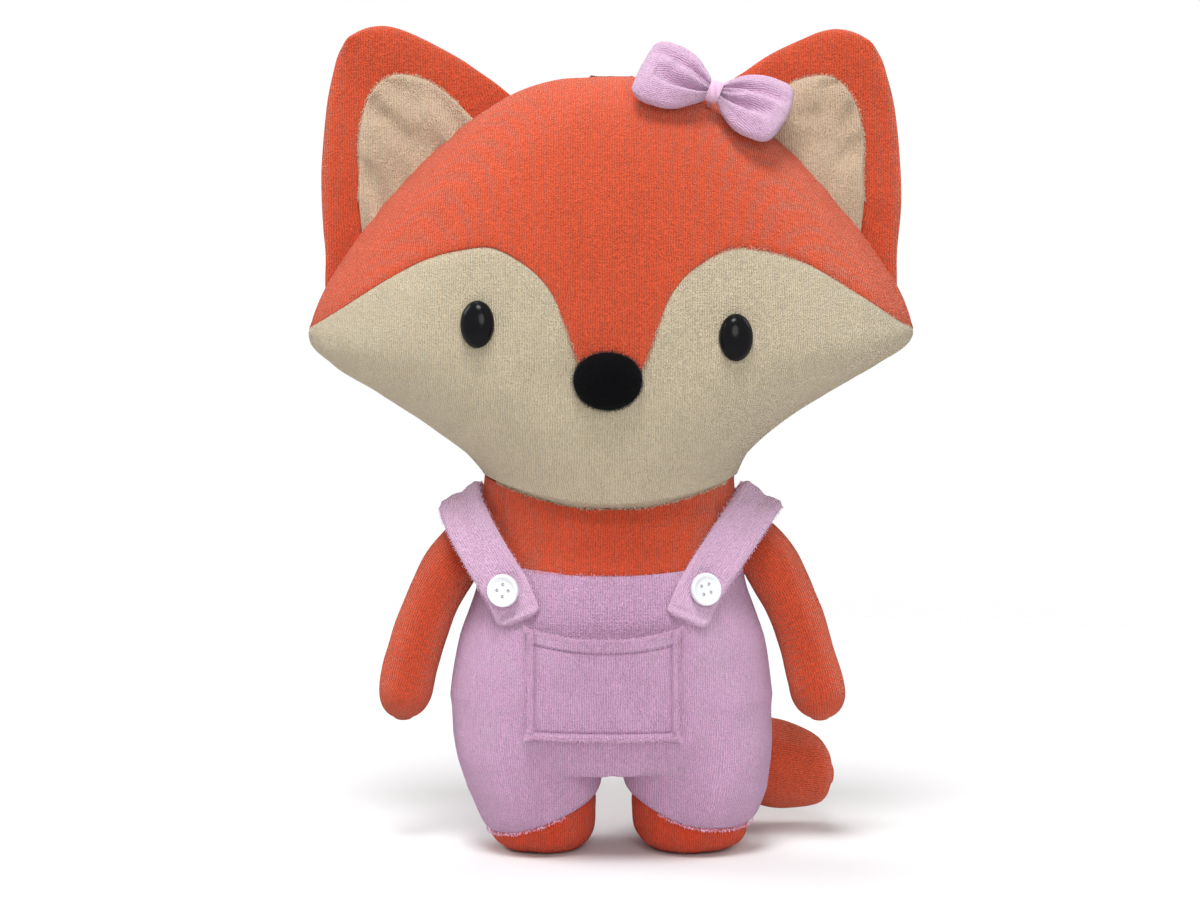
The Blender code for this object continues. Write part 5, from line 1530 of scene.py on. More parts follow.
def head_point_under(place):
    """Where the bow's shank meets the head."""
    normal = (place.to_3x3() @ Vector((0.0, 0.0, 1.0))).normalized()
    spot = place.translation.copy()
    for _ in range(200):
        if spot.z < CROWN_Z - 0.001 and spot.y >= head_front_y(spot.x, spot.z):
            break
        spot -= normal * 0.0001
    return spot


add_bow()
add_wrap()


# Body

NECK_SIDE_SEAM = math.radians(21)   # where the chest's front panel meets its side panels
CHEST_SEAM = 0.0007       # depth of its upright seams, and of the one at the waist
WAIST_SEAM = 0.0006
CHEST_LUMPS = ((0.030, 0.0009, 30), (0.011, 0.00025, 31))
CHEST_RADIUS = 0.045
RIM_LAP = 0.0001          # the chest's rim stays this far under the neck's dish
RIM_NARROW = 0.0014       # and is drawn in on the left


def chest_line(share, angle):
    end = waist_position(angle)
    return body_surface(share * end, angle)


def chest_sink(points):
    top, bottom, left, right = edge_distances(points)
    sink = pinch(bottom, WAIST_SEAM, 0.0020)
    fade = np.clip(top / 0.006, 0.0, 1.0)
    turn = np.arctan2(-points[..., 1], points[..., 0])
    for seam in (NECK_SIDE_SEAM, math.pi - NECK_SIDE_SEAM):
        sink = sink + pinch(np.abs(turn - seam) * CHEST_RADIUS, CHEST_SEAM, 0.0016)
    sink = sink + pinch(np.abs(points[..., 0]) + (points[..., 1] < 0.0), CHEST_SEAM, 0.0020)
    return (sink + all_lumps(points, CHEST_LUMPS)) * fade


BODY_RINGS = [body_level(position) for position in spread(200, 1.0, 0.0)]


def body_places(points):
    return ring_places(points, [ring[0] for ring in BODY_RINGS], [ring[1] for ring in BODY_RINGS],
                       [ring[2] for ring in BODY_RINGS], [ring[2] for ring in BODY_RINGS])


def chest_lining(points, places, normals):
    return dish_rows(points, places, normals, -RIM_LAP, True)


def chest_rise(points):
    """Bring the chest's upper rim up to the head."""
    raised = points.copy()
    down = arc_lengths(points, 0)
    raised[..., 2] += (NECK_GAP - RIM_LAP) * np.exp(-(down / 0.004) ** 2)
    left = np.clip(points[..., 0] / CHEST_RADIUS, 0.0, 1.0) ** 2
    raised[..., 0] -= RIM_NARROW * left * np.exp(-(down / 0.010) ** 2)
    return raised


chest = cloth_panel("chest_cloth", chest_line, spread(64), spread(260, -0.5 * math.pi, 1.5 * math.pi),
                    orange_painted_shade, edges="b", closed=True, sink=chest_sink, places=body_places, warp=chest_rise,
                    lining=chest_lining)
dress(chest, "torso", "orange_velour", "chest_panel", "body_filling", fill=0.8)


# Trousers and feet, cut from one stuffed form

FORM_CELL = 0.0014
CROTCH_LIFT = 0.0045      # the stuffed legs part a little higher than their panels meet
CUFF_LIFT = 0.0036        # the left cuff rides up at its outer end
HIP_ROUNDS = 90           # rounds of smoothing where the hips pass into the legs
HIP_HEIGHT = 0.0400
HIP_BLEND = 0.016
HIP_FILL = 0.0006         # stuffing that rounds out the side there
CUFF_STEP = 0.0007        # the trouser cloth stands proud of the foot at the cuff
CUFF_TUCK = 0.0040        # how far a foot's cloth runs up under the cuff
TROUSER_LUMPS = ((0.034, 0.0010, 32), (0.013, 0.0003, 33))
FOOT_LUMPS = ((0.020, 0.0007, 34), (0.008, 0.00025, 35))
LEG_OUT = 0.0023          # how far the left leg stands out
FOOT_OUT = 0.0036         # and its foot
ANKLE_IN = 0.0020         # and how far the right ankle is drawn in
TROUSER_SEAM = 0.0006     # depth of the seam between the legs and at the back
WAIST_DIP = 0.0005
CUFF_DIP = 0.0012
FOOT_DIP = 0.0013         # where it runs in under the cuff
SOLE_SEAM = 0.0003
RIB_TURN = 0.012          # height below the legs' tops in which the ribs become straight
RIB_INSIDE = 0.040        # they do so only this near the middle
RIB_FADE = 0.016


def closed_loft(shape, rows):
    """Add a closed loft to a mesh: rings joined in order, with a fan at both ends."""
    rings = [[shape.verts.new(point) for point in row] for row in rows]
    count = len(rows[0])
    for first, second in zip(rings, rings[1:]):
        for side in range(count):
            shape.faces.new((first[side], first[(side + 1) % count], second[(side + 1) % count], second[side]))
    for ring in (rings[0], rings[-1]):
        middle = shape.verts.new(sum((vert.co for vert in ring), Vector()) / count)
        for side in range(count):
            shape.faces.new((ring[side], ring[(side + 1) % count], middle))


def lower_form():
    """Hips and both legs as one smooth skin."""
    around = spread(96, 0.0, TAU)[:-1]
    shape = bmesh.new()
    low = body_position(CROTCH_Z + CROTCH_LIFT)
    top = body_position(WAIST_Z + 0.012)
    closed_loft(shape, [[body_surface(position, angle) for angle in around] for position in spread(90, top, low)])
    for side in (-1.0, 1.0):
        heights = [LEG_TOP_Z - (LEG_TOP_Z + SOLE_CUT) * share for share in spread(90)]
        closed_loft(shape, [[leg_point(side, height, angle) for angle in around] for height in heights])
    mesh = bpy.data.meshes.new("lower_form")
    bmesh.ops.recalc_face_normals(shape, faces=shape.faces)
    shape.to_mesh(mesh)
    shape.free()
    item = add_object("lower_form", mesh)
    remesh = item.modifiers.new("remesh", "REMESH")
    remesh.mode = "VOXEL"
    remesh.voxel_size = FORM_CELL * 1.0
    smooth = item.modifiers.new("smooth", "SMOOTH")
    smooth.factor = 0.5
    smooth.iterations = 10
    shaped = carried_out(item)
    soften(item, HIP_ROUNDS, lambda spot: abs(spot.z - HIP_HEIGHT) < HIP_BLEND and abs(spot.x) > LEG_SPREAD)
    bpy.data.objects.remove(item)
    return shaped


def lower_places(points):
    """Cloth coordinates; below the crotch the ribs run straight down from the hips."""
    held = points.copy()
    held[:, 2] = np.maximum(points[:, 2], LEG_TOP_Z)
    places = body_places(held)
    places[:, 1] = points[:, 2]
    widest = LEG_SPREAD + leg_level(LEG_TOP_Z)[1]
    turn = np.arcsin(np.clip(points[:, 0] / widest, -0.98, 0.98))
    straight = widest * np.where(points[:, 1] > 0.0, np.copysign(math.pi, points[:, 0]) - turn, turn)
    share = np.clip((LEG_TOP_Z - points[:, 2]) / RIB_TURN, 0.0, 1.0)
    share = share * np.clip((RIB_INSIDE - np.abs(points[:, 0])) / RIB_FADE, 0.0, 1.0)
    places[:, 0] += share * (straight - places[:, 0])
    return places


def cut_below(shape, height_of, keep_above):
    """Keep the part of a mesh above or below a line whose height depends on the place."""
    for vert in shape.verts:
        vert.co.z -= height_of(vert.co)
    geometry = shape.verts[:] + shape.edges[:] + shape.faces[:]
    bmesh.ops.bisect_plane(shape, geom=geometry, plane_co=(0.0, 0.0, 0.0), plane_no=(0.0, 0.0, 1.0),
                           clear_inner=keep_above, clear_outer=not keep_above, dist=1e-5)
    for vert in shape.verts:
        vert.co.z += height_of(vert.co)


def cuff_at(point):
    return cuff_line(abs(point.x)) + CUFF_LIFT * clamp((point.x - 0.025) / 0.025)


def leg_lean(spot):
    """The left leg stands a little further out and its foot spreads; the right ankle is slimmer."""
    if spot.x > 0.0:
        low = clamp((0.050 - spot.z) / 0.030)
        shift = LEG_OUT * low * low * (3.0 - 2.0 * low) * clamp(spot.x / 0.008)
        shift += FOOT_OUT * clamp((spot.x - 0.012) / 0.035) * hump(spot.z, 0.009)
    else:
        shift = ANKLE_IN * clamp((-spot.x - 0.030) / 0.020) * hump(spot.z - 0.017, 0.013)
    return Vector((spot.x + shift, spot.y, spot.z))


def waist_at(point):
    around = math.hypot(point.x, point.y)
    share = (point.x / around) ** 2 if around > 0.0 else 0.0
    return WAIST_Z + WAIST_SIDE_RISE * share


def push(shape, amount):
    """Move every point along its normal by an amount that depends on its place."""
    shape.normal_update()
    moves = [(vert, vert.normal * amount(vert.co)) for vert in shape.verts]
    for vert, move in moves:
        vert.co += move


def turn_in(shape, depth, steps=2):
    """Turn every open edge in behind the cloth."""
    shape.normal_update()
    for _ in range(steps):
        edges = [edge for edge in shape.edges if edge.is_boundary]
        normals = {vert: vert.normal.copy() for edge in edges for vert in edge.verts}
        made = bmesh.ops.extrude_edge_only(shape, edges=edges)["geom"]
        for vert in (part for part in made if isinstance(part, bmesh.types.BMVert)):
            linked = [edge.other_vert(vert) for edge in vert.link_edges]
            old = next((other for other in linked if other in normals), None)
            if old is not None:
                vert.co -= normals[old] * (depth / steps)
        shape.normal_update()


def foot_places(points):
    """Cloth coordinates of a foot: across it, and down its front to the toe."""
    return np.stack([1.1 * points[:, 0], points[:, 2] - points[:, 1]], axis=1)


def finish_form(name, shape, shade, mapping=lower_places):
    """Make a piece of a cut form; no face's cloth coordinates jump where the two ends meet."""
    mesh = bpy.data.meshes.new(name)
    bmesh.ops.triangulate(shape, faces=[face for face in shape.faces if len(face.verts) > 4])
    bmesh.ops.recalc_face_normals(shape, faces=shape.faces)
    shape.to_mesh(mesh)
    shape.free()
    points = np.empty(len(mesh.vertices) * 3)
    mesh.vertices.foreach_get("co", points)
    places = mapping(points.reshape(-1, 3))
    corners = np.empty(len(mesh.loops), dtype=np.int64)
    mesh.loops.foreach_get("vertex_index", corners)
    mapped = places[corners]
    starts = np.empty(len(mesh.polygons), dtype=np.int64)
    mesh.polygons.foreach_get("loop_start", starts)
    counts = np.diff(np.append(starts, len(corners)))
    owner = np.repeat(np.arange(len(starts)), counts)
    high = np.full(len(starts), -1e9)
    np.maximum.at(high, owner, mapped[:, 0])
    period = math.pi * (HIP_HALF_WIDTH + BELLY_DEPTH)
    wrap = (high[owner] - mapped[:, 0]) > 0.5 * period
    mapped[wrap, 0] += period
    layer = mesh.uv_layers.new(name="weave")
    layer.data.foreach_set("uv", mapped.astype(np.float32).ravel())
    return show(name, mesh, shade)


def trousers_move(point):
    """How far the trouser cloth stands out: dips at its seams, the cuff and the hips filled."""
    cuff = max(point.z - cuff_at(point), 0.0)
    waist = max(waist_at(point) - point.z, 0.0)
    move = VELOUR_LIFT - WAIST_DIP * hump(waist, 0.0020, PINCH_POWER)
    move += CUFF_STEP * hump(cuff, 0.010, 1.0) - CUFF_DIP * hump(cuff, 0.0016, PINCH_POWER)
    move += HIP_FILL * hump(point.z - HIP_HEIGHT, 0.009) * clamp((abs(point.x) - 0.036) / 0.016)
    if point.z < 0.044 or point.y > 0.0:
        move -= TROUSER_SEAM * hump(abs(point.x), 0.0016, PINCH_POWER)
    return move + soft_noise(point, *TROUSER_LUMPS)


def foot_move(point):
    move = VELOUR_LIFT - FOOT_DIP * hump(max(cuff_at(point) - point.z, 0.0), 0.0024, 1.0)
    if point.z < 0.004:
        move -= SOLE_SEAM * hump(abs(abs(point.x) - LEG_SPREAD), 0.0014, PINCH_POWER)
    return move + soft_noise(point, *FOOT_LUMPS)


def rim_normal(spot, near, above, outward):
    """The direction square to two steps along a surface, on the side of outward."""
    normal = (near - spot).cross(above - spot).normalized()
    return normal if normal.dot(outward) > 0.0 else -normal


def waist_rim(count, lift):
    """Places and directions round the body along the waist seam."""
    line, out = [], []
    for angle in spread(count, 0.0, TAU):
        position = waist_position(angle)
        spot = body_surface(position, angle)
        near = body_surface(position, angle + NEAR)
        above = body_surface(position - NEAR, angle)
        normal = rim_normal(spot, near, above, Vector((spot.x, spot.y, 0.0)))
        line.append(tuple(spot + normal * lift))
        out.append(tuple(normal))
    return np.array(line), np.array(out)


def leg_rim(side, count, lift):
    """Places and directions round a leg along its trouser cuff."""
    line, out = [], []
    for angle in spread(count, 0.0, TAU):
        height = CUFF_OUTER_Z
        for _ in range(12):
            height = cuff_at(leg_point(side, height, angle))
        spot = leg_point(side, height, angle)
        near = leg_point(side, height, angle + NEAR)
        above = leg_point(side, height + 0.0005, angle)
        middle = Vector((side * leg_level(height)[0], 0.0, spot.z))
        normal = rim_normal(spot, near, above, spot - middle)
        line.append(tuple(leg_lean(spot + normal * lift)))
        out.append(tuple(normal))
    return np.array(line), np.array(out)


def add_lower():
    form = lower_form()
    shape = bmesh.new()
    shape.from_mesh(form)
    cut_below(shape, cuff_at, True)
    cut_below(shape, waist_at, False)
    push(shape, trousers_move)
    turn_in(shape, 0.0022)
    for vert in shape.verts:
        vert.co = leg_lean(vert.co)
    trousers = finish_form("trousers_cloth", shape, pink)
    dress(trousers, "torso", "pink_velour", "trousers", fill=0.8)
    for side, word in ((-1, "right"), (1, "left")):
        shape = bmesh.new()
        shape.from_mesh(form)
        cut_below(shape, lambda point: cuff_at(point) + CUFF_TUCK, False)
        away = [vert for vert in shape.verts if vert.co.x * side < 0.0]
        bmesh.ops.delete(shape, geom=away, context="VERTS")
        push(shape, foot_move)
        for vert in shape.verts:
            vert.co = leg_lean(vert.co)
            vert.co.z = max(vert.co.z, 0.0001)
        turn_in(shape, 0.0012, 1)
        foot = finish_form(word + "_foot_cloth", shape, orange_painted_foot_shade, foot_places)
        dress(foot, "torso", "orange_velour", word + "_foot", fill=0.75)


add_lower()
waist_line, waist_out = waist_rim(400, -0.0004)
rise = facing(UP, len(waist_line))
add_fuzz("waist_pile", waist_line, waist_out, -rise, orange_fibre, 11, 4.0, 0.0008, "torso", "orange_velour")
add_fuzz("waistband_pile", waist_line, waist_out, rise, pink_fibre, 12, 4.0, 0.0008, "torso", "pink_velour")
for leg_side, leg_word in ((-1, "right"), (1, "left")):
    cuff, cuff_out = leg_rim(leg_side, 240, 0.0006)
    add_fuzz(leg_word + "_cuff_pile", cuff, cuff_out, facing(DOWN, len(cuff)), pink_fibre, 14 + leg_side,
             12.0, 0.0009, "torso", "pink_velour", keep=lambda roots: np.abs(roots[:, 0]) > 0.0165)


# Arms and tail

TIP_RADIUS = 0.0034
TIP_RISE = 0.0011
LIMB_LUMPS = ((0.022, 0.0011, 0), (0.009, 0.00035, 1))
LIMB_SEAM = 0.0008
ROOT_DIP = 0.0010
# The sewn end: how wide each of its rows is, and how far it runs in
ROOT_ROWS = ((0.0, 1.0), (0.45, 0.92), (0.78, 0.68), (0.94, 0.35))
LIMB_SEAMS = (0.0, 0.5)   # where round a limb its two seams run


def rounded_tip(points):
    """Give the last few rings of a limb a smooth round end."""
    centres = points.mean(axis=1)
    reach = np.linalg.norm(points - centres[:, None], axis=2).mean(axis=1)
    start = len(points) - 1 - int(np.argmax(reach[::-1] > TIP_RADIUS))
    way = centres[start] - centres[start - 3]
    way = way / np.linalg.norm(way)
    base = points[start] - centres[start]
    for row in range(start + 1, len(points)):
        turn = 0.5 * math.pi * (row - start) / (len(points) - 1 - start)
        points[row] = centres[start] + way * (TIP_RISE * math.sin(turn)) + base * math.cos(turn)
    return points


def limb(name, surface, crowding, shade, seed, root_x, push_root):
    """A stuffed limb: two panels sewn together along both of its edges."""
    shares = [1.0 - (1.0 - share) ** crowding for share in spread(110)]
    points = sample(surface, shares, spread(128, 0.0, TAU))
    points[0, :, 0] = root_x
    places = weave_places(points, 32)
    normals = grid_normals(points, True)
    centre = points[:, :-1].mean(axis=1, keepdims=True)
    if (normals * (points - centre)).sum() < 0.0:
        normals = -normals
    length = arc_lengths(points, 1)
    total = length[:, -1:]
    sink = np.zeros(points.shape[:2])
    for seam in LIMB_SEAMS:
        away = np.abs(length - total * seam)
        away = np.minimum(away, total - away)
        sink = sink + pinch(away, LIMB_SEAM, 0.0018)
    down = arc_lengths(points, 0)
    fade = np.clip((down[-1:] - down) / 0.004, 0.0, 1.0)
    dip = pinch(down, ROOT_DIP, 0.0040)
    waves = all_lumps(points, LIMB_LUMPS, seed)
    points = points + normals * ((VELOUR_LIFT - sink * fade - dip + waves)[..., None])
    points[:, -1] = points[:, 0]
    points = rounded_tip(points)
    middle = points[0].mean(axis=0)
    root = []
    for wide, deep in ROOT_ROWS:
        row = middle + (points[0] - middle) * wide
        row[:, 0] += push_root * deep
        root.append(row)
    points = np.concatenate([np.array(root), points], axis=0)
    places = pad_places(places, len(root))
    return grid_mesh(name, points, places, shade)


def add_arm(side, word):
    arm = limb(word + "_arm_cloth", arm_surface(side), 1.25, orange_painted_shade, 40 + side, side * arm_root_x(),
               -side * 0.004)
    held = ("torso", word + "_arm_body", (side * (arm_root_x() - 0.001), 0.0, SHOULDER_Z),
            (side * (arm_root_x() + 0.009), 0.0, SHOULDER_Z))
    dress(arm, held, "orange_velour", word + "_arm", word + "_arm_filling", fill=0.6)


add_arm(1, "left")
add_arm(-1, "right")


def add_tail():
    tail = limb("tail_cloth", tail_surface, 1.3, orange, 46, TAIL_ROOT_X, -0.003)
    held = ("torso", "tail_body", (TAIL_ROOT_X, tail_root_y(), TAIL_ROOT_Z),
            (TAIL_ROOT_X + 0.010, tail_root_y(), TAIL_ROOT_Z))
    dress(tail, held, "orange_velour", "tail", "tail_filling", fill=0.6)


add_tail()


# Straps, buttons and pocket

STRAP_EDGE = 0.0011       # how far in from its sides a strap thins
STRAP_END = 0.0007        # and from its ends
SIDE_STEPS = 20
STRAP_CORNER = 0.0030
STRAP_UNDER = 0.0001      # a strap's underside over the body
STRAP_LUMPS = (0.012, 0.0004, 50)
STRAP_CREASE = 0.0009     # depth of the fold down its middle
CREASE_FADE = (0.016, 0.012)      # where it begins from an end, and how soon it is full
# Rise, place and width of the ridges that a hem raises: two across the end, one down the sides
END_RIDGES = ((0.0011, 0.0016, 0.0013), (-0.0006, 0.0036, 0.0005))
SIDE_RIDGE = (0.0005, 0.0014, 0.0009)


def strap_point(turn, across, side):
    """A point of the strap's underside, kept off the body."""
    step = 0.02
    spot, normal = strap_centre(turn, side)
    along = strap_centre(turn + step, side)[0] - strap_centre(turn - step, side)[0]
    direction = along.normalized().cross(normal).normalized()
    point = clear_of_body(spot + direction * (across * STRAP_WIDTH), normal, STRAP_LIFT)
    return point, normal


def strap_rise(share, run, total, wave):
    """How far a strap's outside stands over its underside, with its hems and middle fold."""
    end = min(run, total - run)
    rim = (0.5 - abs(share)) * STRAP_WIDTH
    roll = 1.0 - hump(rim, STRAP_EDGE, 1.0)
    closing = 1.0 - hump(end, STRAP_END, 1.0)
    hem = sum(rise * hump(end - place, width) for rise, place, width in END_RIDGES)
    hem += SIDE_RIDGE[0] * hump(rim - SIDE_RIDGE[1], SIDE_RIDGE[2])
    fold = -STRAP_CREASE * hump(share - 0.06, 0.13)
    for from_end in (run, total - run):
        fold *= clamp((from_end - CREASE_FADE[0]) / CREASE_FADE[1])
    raised = (CLOTH + STRAP_UNDER) * (0.30 + 0.70 * roll) * (0.3 + 0.7 * closing)
    return raised + (hem + fold + wave) * roll * closing


def add_strap(side, word):
    turns = spread(20, -1.0, -0.02) + spread(120, 0.0, math.pi) + spread(20, math.pi + 0.02, math.pi + 1.0)
    outer, inner = [], []
    lengths = [0.0]
    for before, after in zip(turns, turns[1:]):
        lengths.append(lengths[-1] + (strap_centre(after, side)[0] - strap_centre(before, side)[0]).length)
    total = lengths[-1]
    for turn, run in zip(turns, lengths):
        end = min(run, total - run)
        top, under = [], []
        corner = STRAP_CORNER - min(end, STRAP_CORNER)
        corner = (STRAP_CORNER - math.sqrt(max(STRAP_CORNER ** 2 - corner ** 2, 0.0))) / STRAP_WIDTH
        for share in spread(2 * SIDE_STEPS, -0.5, 0.5):
            point, normal = strap_point(turn, share * (1.0 - 2.0 * corner), side)
            size, depth, seed = STRAP_LUMPS
            wave = soft_noise(point, (size, depth, seed + side))
            top.append(tuple(point + normal * strap_rise(share, run, total, wave)))
            under.append(tuple(point + normal * STRAP_UNDER))
        outer.append(top)
        inner.append(under)
    points = np.array([top + list(reversed(under)) + [top[0]] for top, under in zip(outer, inner)])
    places = weave_places(points, SIDE_STEPS)
    strap = grid_mesh(word + "_strap_cloth", points, places, pink_painted_light)
    close_ends(strap)
    outer = np.array(outer)
    normals = np.array([tuple(strap_centre(turn, side)[1]) for turn in turns])
    for end, row, toward in (("front", 0, 2), ("back", -1, -3)):
        add_fuzz(word + "_strap_" + end + "_pile", outer[row], facing(normals[row], outer.shape[1]),
                 outer[row] - outer[toward], pink_fibre, 60 + side, 22.0, 0.0007, "torso", "pink_velour")
    for border, column in (("inner", 0), ("outer", -1)):
        add_fuzz(word + "_strap_" + border + "_pile", outer[:, column], normals,
                 outer[:, column] - outer[:, SIDE_STEPS], pink_fibre, 64 + side, 10.0, 0.0006, "torso",
                 "pink_velour")
    dress(strap, "torso", "pink_velour", word + "_strap")


BUTTON_BED = 0.67         # height of the button's middle, as a share of its rim's
# From the middle of its underside round the rim to the middle of its top
BUTTON_PROFILE = ((0.0, 0.0), (0.88, 0.0), (0.96, 0.08), (1.0, 0.30), (1.0, 0.60), (0.985, 0.84),
                  (0.95, 0.97), (0.90, 1.0), (0.83, 0.995), (0.77, 0.93), (0.71, 0.80), (0.65, 0.70),
                  (0.58, BUTTON_BED), (0.30, BUTTON_BED), (0.0, BUTTON_BED))
BUTTON_SPIN = {1: math.radians(12.0), -1: math.radians(45.0)}
DRILL_SHARE = 0.8         # the visible holes are a little narrower than the solid's
BUTTON_STRAND = 0.00042
SHARP_ANGLE = math.radians(40)


def add_button(side, word):
    low, high = (Vector(corner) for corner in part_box(word + "_button"))
    normal = button_normal(side)
    turn = normal.to_track_quat("Z", "Y").to_matrix().to_4x4()
    spin = Matrix.Rotation(BUTTON_SPIN[side], 4, "Z")
    place = Matrix.Translation(0.5 * (low + high) - normal * (0.5 * BUTTON_THICKNESS)) @ turn @ spin
    points = np.array([[(BUTTON_RADIUS * wide * math.cos(turn), BUTTON_RADIUS * wide * math.sin(turn),
                         BUTTON_THICKNESS * rise) for turn in spread(72, 0.0, TAU)]
                       for wide, rise in BUTTON_PROFILE])
    disc = grid_mesh(word + "_button_disc", points, weave_places(points, 0), button_white)
    half = 0.5 * BUTTON_HOLE_SPACING
    radius = DRILL_SHARE * BUTTON_HOLE_RADIUS
    shape = bmesh.new()
    for x in (-half, half):
        for y in (-half, half):
            where = Matrix.Translation((x, y, 0.5 * BUTTON_THICKNESS))
            bmesh.ops.create_cone(shape, cap_ends=True, segments=24, radius1=radius, radius2=radius,
                                  depth=3.0 * BUTTON_THICKNESS, matrix=where)
    drill_mesh = bpy.data.meshes.new("drill")
    shape.to_mesh(drill_mesh)
    shape.free()
    drill = add_object("drill", drill_mesh)
    cutting = disc.modifiers.new("holes", "BOOLEAN")
    cutting.operation = "DIFFERENCE"
    cutting.object = drill
    shaped = carried_out(disc)
    bpy.data.objects.remove(drill)
    shaped.shade_smooth()
    shaped.set_sharp_from_angle(angle=SHARP_ANGLE)
    disc.matrix_world = place
    dress(disc, "torso", "white_plastic", word + "_button")
    top = BUTTON_THICKNESS * BUTTON_BED
    for count, (x, y) in enumerate(((-half, -half), (half, -half), (-half, half), (half, half))):
        path = [Vector((x, y, z)) for z in (0.0002, 0.5 * top, top - 0.0003)]
        stitch = tube(word + "_button_thread_" + str(count), path, BUTTON_STRAND, 10, white_thread)
        stitch.matrix_world = place
        dress(stitch, "torso", "thread")


def button_normal(side):
    """The outward direction of a strap's front end, on which its button lies."""
    along = strap_point(math.pi / 18.0, 0.0, side)[0] - strap_point(-1.0, 0.0, side)[0]
    across = strap_point(-0.5, 0.5, side)[0] - strap_point(-0.5, -0.5, side)[0]
    normal = along.cross(across).normalized()
    return normal if normal.y < 0.0 else -normal


POCKET_HEIGHT = POCKET_TOP_Z - POCKET_BOTTOM_Z
POCKET_HEM = 0.0054
POCKET_BORDER = 0.0025
BORDER_RISE = 0.0018
BORDER_GROOVE = 0.0005    # depth of the groove along the border
HEM_RISE = 0.0005
HEM_GROOVE = 0.0008
GROOVE_WIDTH = 0.0004
POCKET_LUMPS = (0.010, 0.0003, 60)
CORNER_OUT = 0.0010       # how far the pocket's corners are drawn out sideways
CORNER_UP = 0.0007        # and upwards or downwards
POCKET_STITCHES = 26
STITCH_SPREAD = 0.88      # the row of stitches, as a share of the pocket's half-width
STITCH_HALF = 0.018       # half a stitch, as a share of it
STITCH_BOW = 0.0003
STITCH_STRAND = 0.00016


def pocket_detail(across, up):
    """Rise of the pocket's folded borders and hem over its flat cloth."""
    top = (1.0 - up) * POCKET_HEIGHT
    border = min((1.0 - abs(across)) * POCKET_HALF_WIDTH, up * POCKET_HEIGHT)
    rise = 0.0
    if border < POCKET_BORDER:
        rise += BORDER_RISE * math.sqrt(max(1.0 - (2.0 * border / POCKET_BORDER - 1.0) ** 2, 0.0))
    rise -= BORDER_GROOVE * hump(border - POCKET_BORDER - 0.5 * GROOVE_WIDTH, GROOVE_WIDTH)
    if border > POCKET_BORDER:
        rise += HEM_RISE * (top < POCKET_HEM) - HEM_GROOVE * hump(top - POCKET_HEM, GROOVE_WIDTH)
    return rise - 0.5 * CLOTH * hump(min(border, top), GROOVE_WIDTH, 1.0)


def pocket_cloth_point(across, up, lift):
    """The same as pocket_point, with the corners drawn out."""
    point = pocket_point(across, up, lift)
    corner = max(abs(across) - 0.90, 0.0) / 0.10
    point.x += math.copysign(CORNER_OUT * corner * max((abs(2.0 * up - 1.0) - 0.75) / 0.25, 0.0), across)
    point.z += math.copysign(CORNER_UP * abs(across) ** 6 * corner, 1.0 if up > 0.5 else -1.0)
    return point


def pocket_front(across, up, rise):
    """A point of the pocket's outside, raised by its borders, its hem and a little more."""
    return pocket_cloth_point(across, up, CLOTH + pocket_detail(across, up) + rise)


def crowded(count):
    """Values from -1 to 1 that stand closer together towards both ends."""
    return [0.5 * math.sin(0.5 * math.pi * spot) + 0.5 * spot for spot in spread(count, -1.0, 1.0)]


def add_pocket():
    columns = crowded(150)
    outer, rings = [], []
    for up in (0.5 + 0.5 * spot for spot in crowded(110)):
        front, back = [], []
        for across in columns:
            wave = soft_noise(pocket_point(across, up, 0.0), POCKET_LUMPS)
            front.append(tuple(pocket_front(across, up, wave)))
            back.append(tuple(pocket_cloth_point(across, up, 0.0)))
        outer.append(front)
        rings.append(front + back[::-1] + [front[0]])
    points = np.array(rings)
    pocket = grid_mesh("pocket_cloth", points, weave_places(points, 75), pink)
    close_ends(pocket)
    dress(pocket, "torso", "pink_velour", "pocket")
    grid_front = np.array(outer)
    middle = grid_front[55, 75]
    for count, inset in enumerate((1, 3, 5, 7)):
        rim = np.concatenate([grid_front[::-1, inset], grid_front[inset, :], grid_front[:, -1 - inset],
                              grid_front[-1 - inset, ::-1]])
        lean = rim - middle
        lean[:, 1] = 0.0
        add_fuzz("pocket_pile_" + str(count), rim, facing(FORWARD, len(rim)), lean, pink_fibre, 70 + count,
                 12.0, 0.0008, "torso", "pink_velour")
    up = 1.0 - POCKET_HEM / POCKET_HEIGHT
    for index, across in enumerate(spread(POCKET_STITCHES, -STITCH_SPREAD, STITCH_SPREAD)):
        path = [pocket_front(across + STITCH_HALF * share, up, STITCH_BOW * (1.0 - share * share))
                for share in spread(4, -1.0, 1.0)]
        stitch = tube("pocket_stitch_" + str(index), path, STITCH_STRAND, 6, pink_thread)
        dress(stitch, "torso", "thread")


add_strap(1, "left")
add_strap(-1, "right")
add_button(1, "left")
add_button(-1, "right")
add_pocket()


# Studio: camera, floor and lights

VIEW_ELEVATION = math.radians(6)
VIEW_DISTANCE = 1.4
VIEW_TARGET = Vector((-0.0041, 0.0, 0.1454))
VIEW_WIDTH = 0.432        # width seen at the target
SENSOR = 36.0
AMBIENT = 0.28            # strength of the world's light, which the camera sees at 1
FLOOR_SIZE = 3.0
FLOOR_PAPER = (0.80, 0.80, 0.80, 1.0)
FLOOR_FADE = (0.30, 0.75)      # radius over which the paper passes into the white background
LAMP_AIM = Vector((0.0, 0.0, 0.15))
# name, place, size and power
LAMPS = (("key", (-0.12, -0.82, 1.75), 0.7, 25.0), ("fill", (0.25, -1.7, 0.75), 0.9, 12.5),
         ("above", (-0.15, 0.55, 1.45), 0.9, 7.0), ("left_rim", (1.1, 0.4, 0.9), 0.7, 3.0),
         ("right_rim", (-1.1, 0.2, 0.9), 0.7, 6.0))


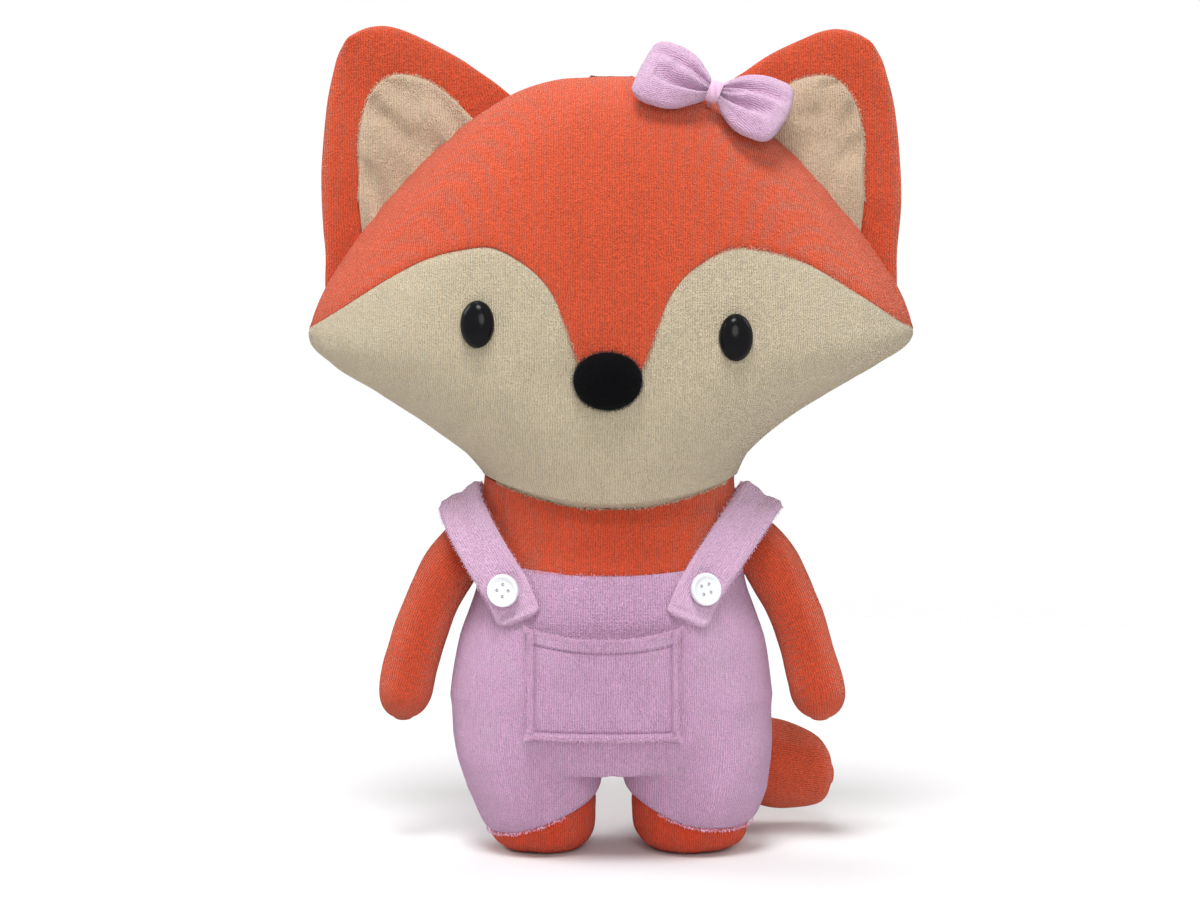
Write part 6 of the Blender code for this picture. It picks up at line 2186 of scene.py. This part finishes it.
def add_camera():
    data = bpy.data.cameras.new("camera")
    data.sensor_width = SENSOR
    data.lens = SENSOR * VIEW_DISTANCE / VIEW_WIDTH
    data.clip_end = 50.0
    camera = add_object("camera", data)
    away = Vector((0.0, -math.cos(VIEW_ELEVATION), math.sin(VIEW_ELEVATION)))
    camera.location = VIEW_TARGET + away * VIEW_DISTANCE
    camera.rotation_euler = away.to_track_quat("Z", "Y").to_euler()
    bpy.context.scene.camera = camera


def add_lamp(name, place, size, power):
    data = bpy.data.lights.new(name, "AREA")
    data.shape = "DISK"
    data.size = size
    data.energy = power
    lamp = add_object(name, data)
    lamp.location = place
    lamp.rotation_euler = (Vector(place) - LAMP_AIM).to_track_quat("Z", "Y").to_euler()


def add_world():
    world = bpy.data.worlds.new("studio")
    world.use_nodes = True
    nodes, links = world.node_tree.nodes, world.node_tree.links
    # White where the camera sees it, dimmer as a light
    backing = nodes["Background"]
    backing.inputs[0].default_value = (1.0, 1.0, 1.0, 1.0)
    seen = nodes.new("ShaderNodeLightPath")
    either = math_node(nodes, links, "MAXIMUM", seen.outputs["Is Camera Ray"], seen.outputs["Is Glossy Ray"])
    either = math_node(nodes, links, "MAXIMUM", either, seen.outputs["Is Transmission Ray"])
    links.new(ranged(nodes, links, either, 0.0, 1.0, AMBIENT, 1.0), backing.inputs[1])
    bpy.context.scene.world = world


def add_floor():
    """A wide paper that fades out, for the fox's shadow to lie on."""
    mesh = bpy.data.meshes.new("floor")
    corners = ((-1.0, -1.0), (1.0, -1.0), (1.0, 1.0), (-1.0, 1.0))
    mesh.from_pydata([(x * FLOOR_SIZE, y * FLOOR_SIZE, 0.0) for x, y in corners], [], [(0, 1, 2, 3)])
    made, nodes, links, shader = shader_tree("floor_paper", 0.9)
    shader.inputs["Base Color"].default_value = FLOOR_PAPER
    place = nodes.new("ShaderNodeTexCoord").outputs["Object"]
    length = nodes.new("ShaderNodeVectorMath")
    length.operation = "LENGTH"
    links.new(place, length.inputs[0])
    fade = nodes.new("ShaderNodeMapRange")
    fade.interpolation_type = "SMOOTHSTEP"
    links.new(length.outputs["Value"], fade.inputs[0])
    fade.inputs[1].default_value = FLOOR_FADE[0]
    fade.inputs[2].default_value = FLOOR_FADE[1]
    clear = nodes.new("ShaderNodeBsdfTransparent")
    mix = nodes.new("ShaderNodeMixShader")
    links.new(fade.outputs[0], mix.inputs[0])
    links.new(shader.outputs[0], mix.inputs[1])
    links.new(clear.outputs[0], mix.inputs[2])
    links.new(mix.outputs[0], nodes["Material Output"].inputs[0])
    mesh.materials.append(made)
    add_object("floor", mesh)


add_camera()
for lamp_row in LAMPS:
    add_lamp(*lamp_row)
add_world()
add_floor()
bpy.context.scene.view_settings.view_transform = "Standard"
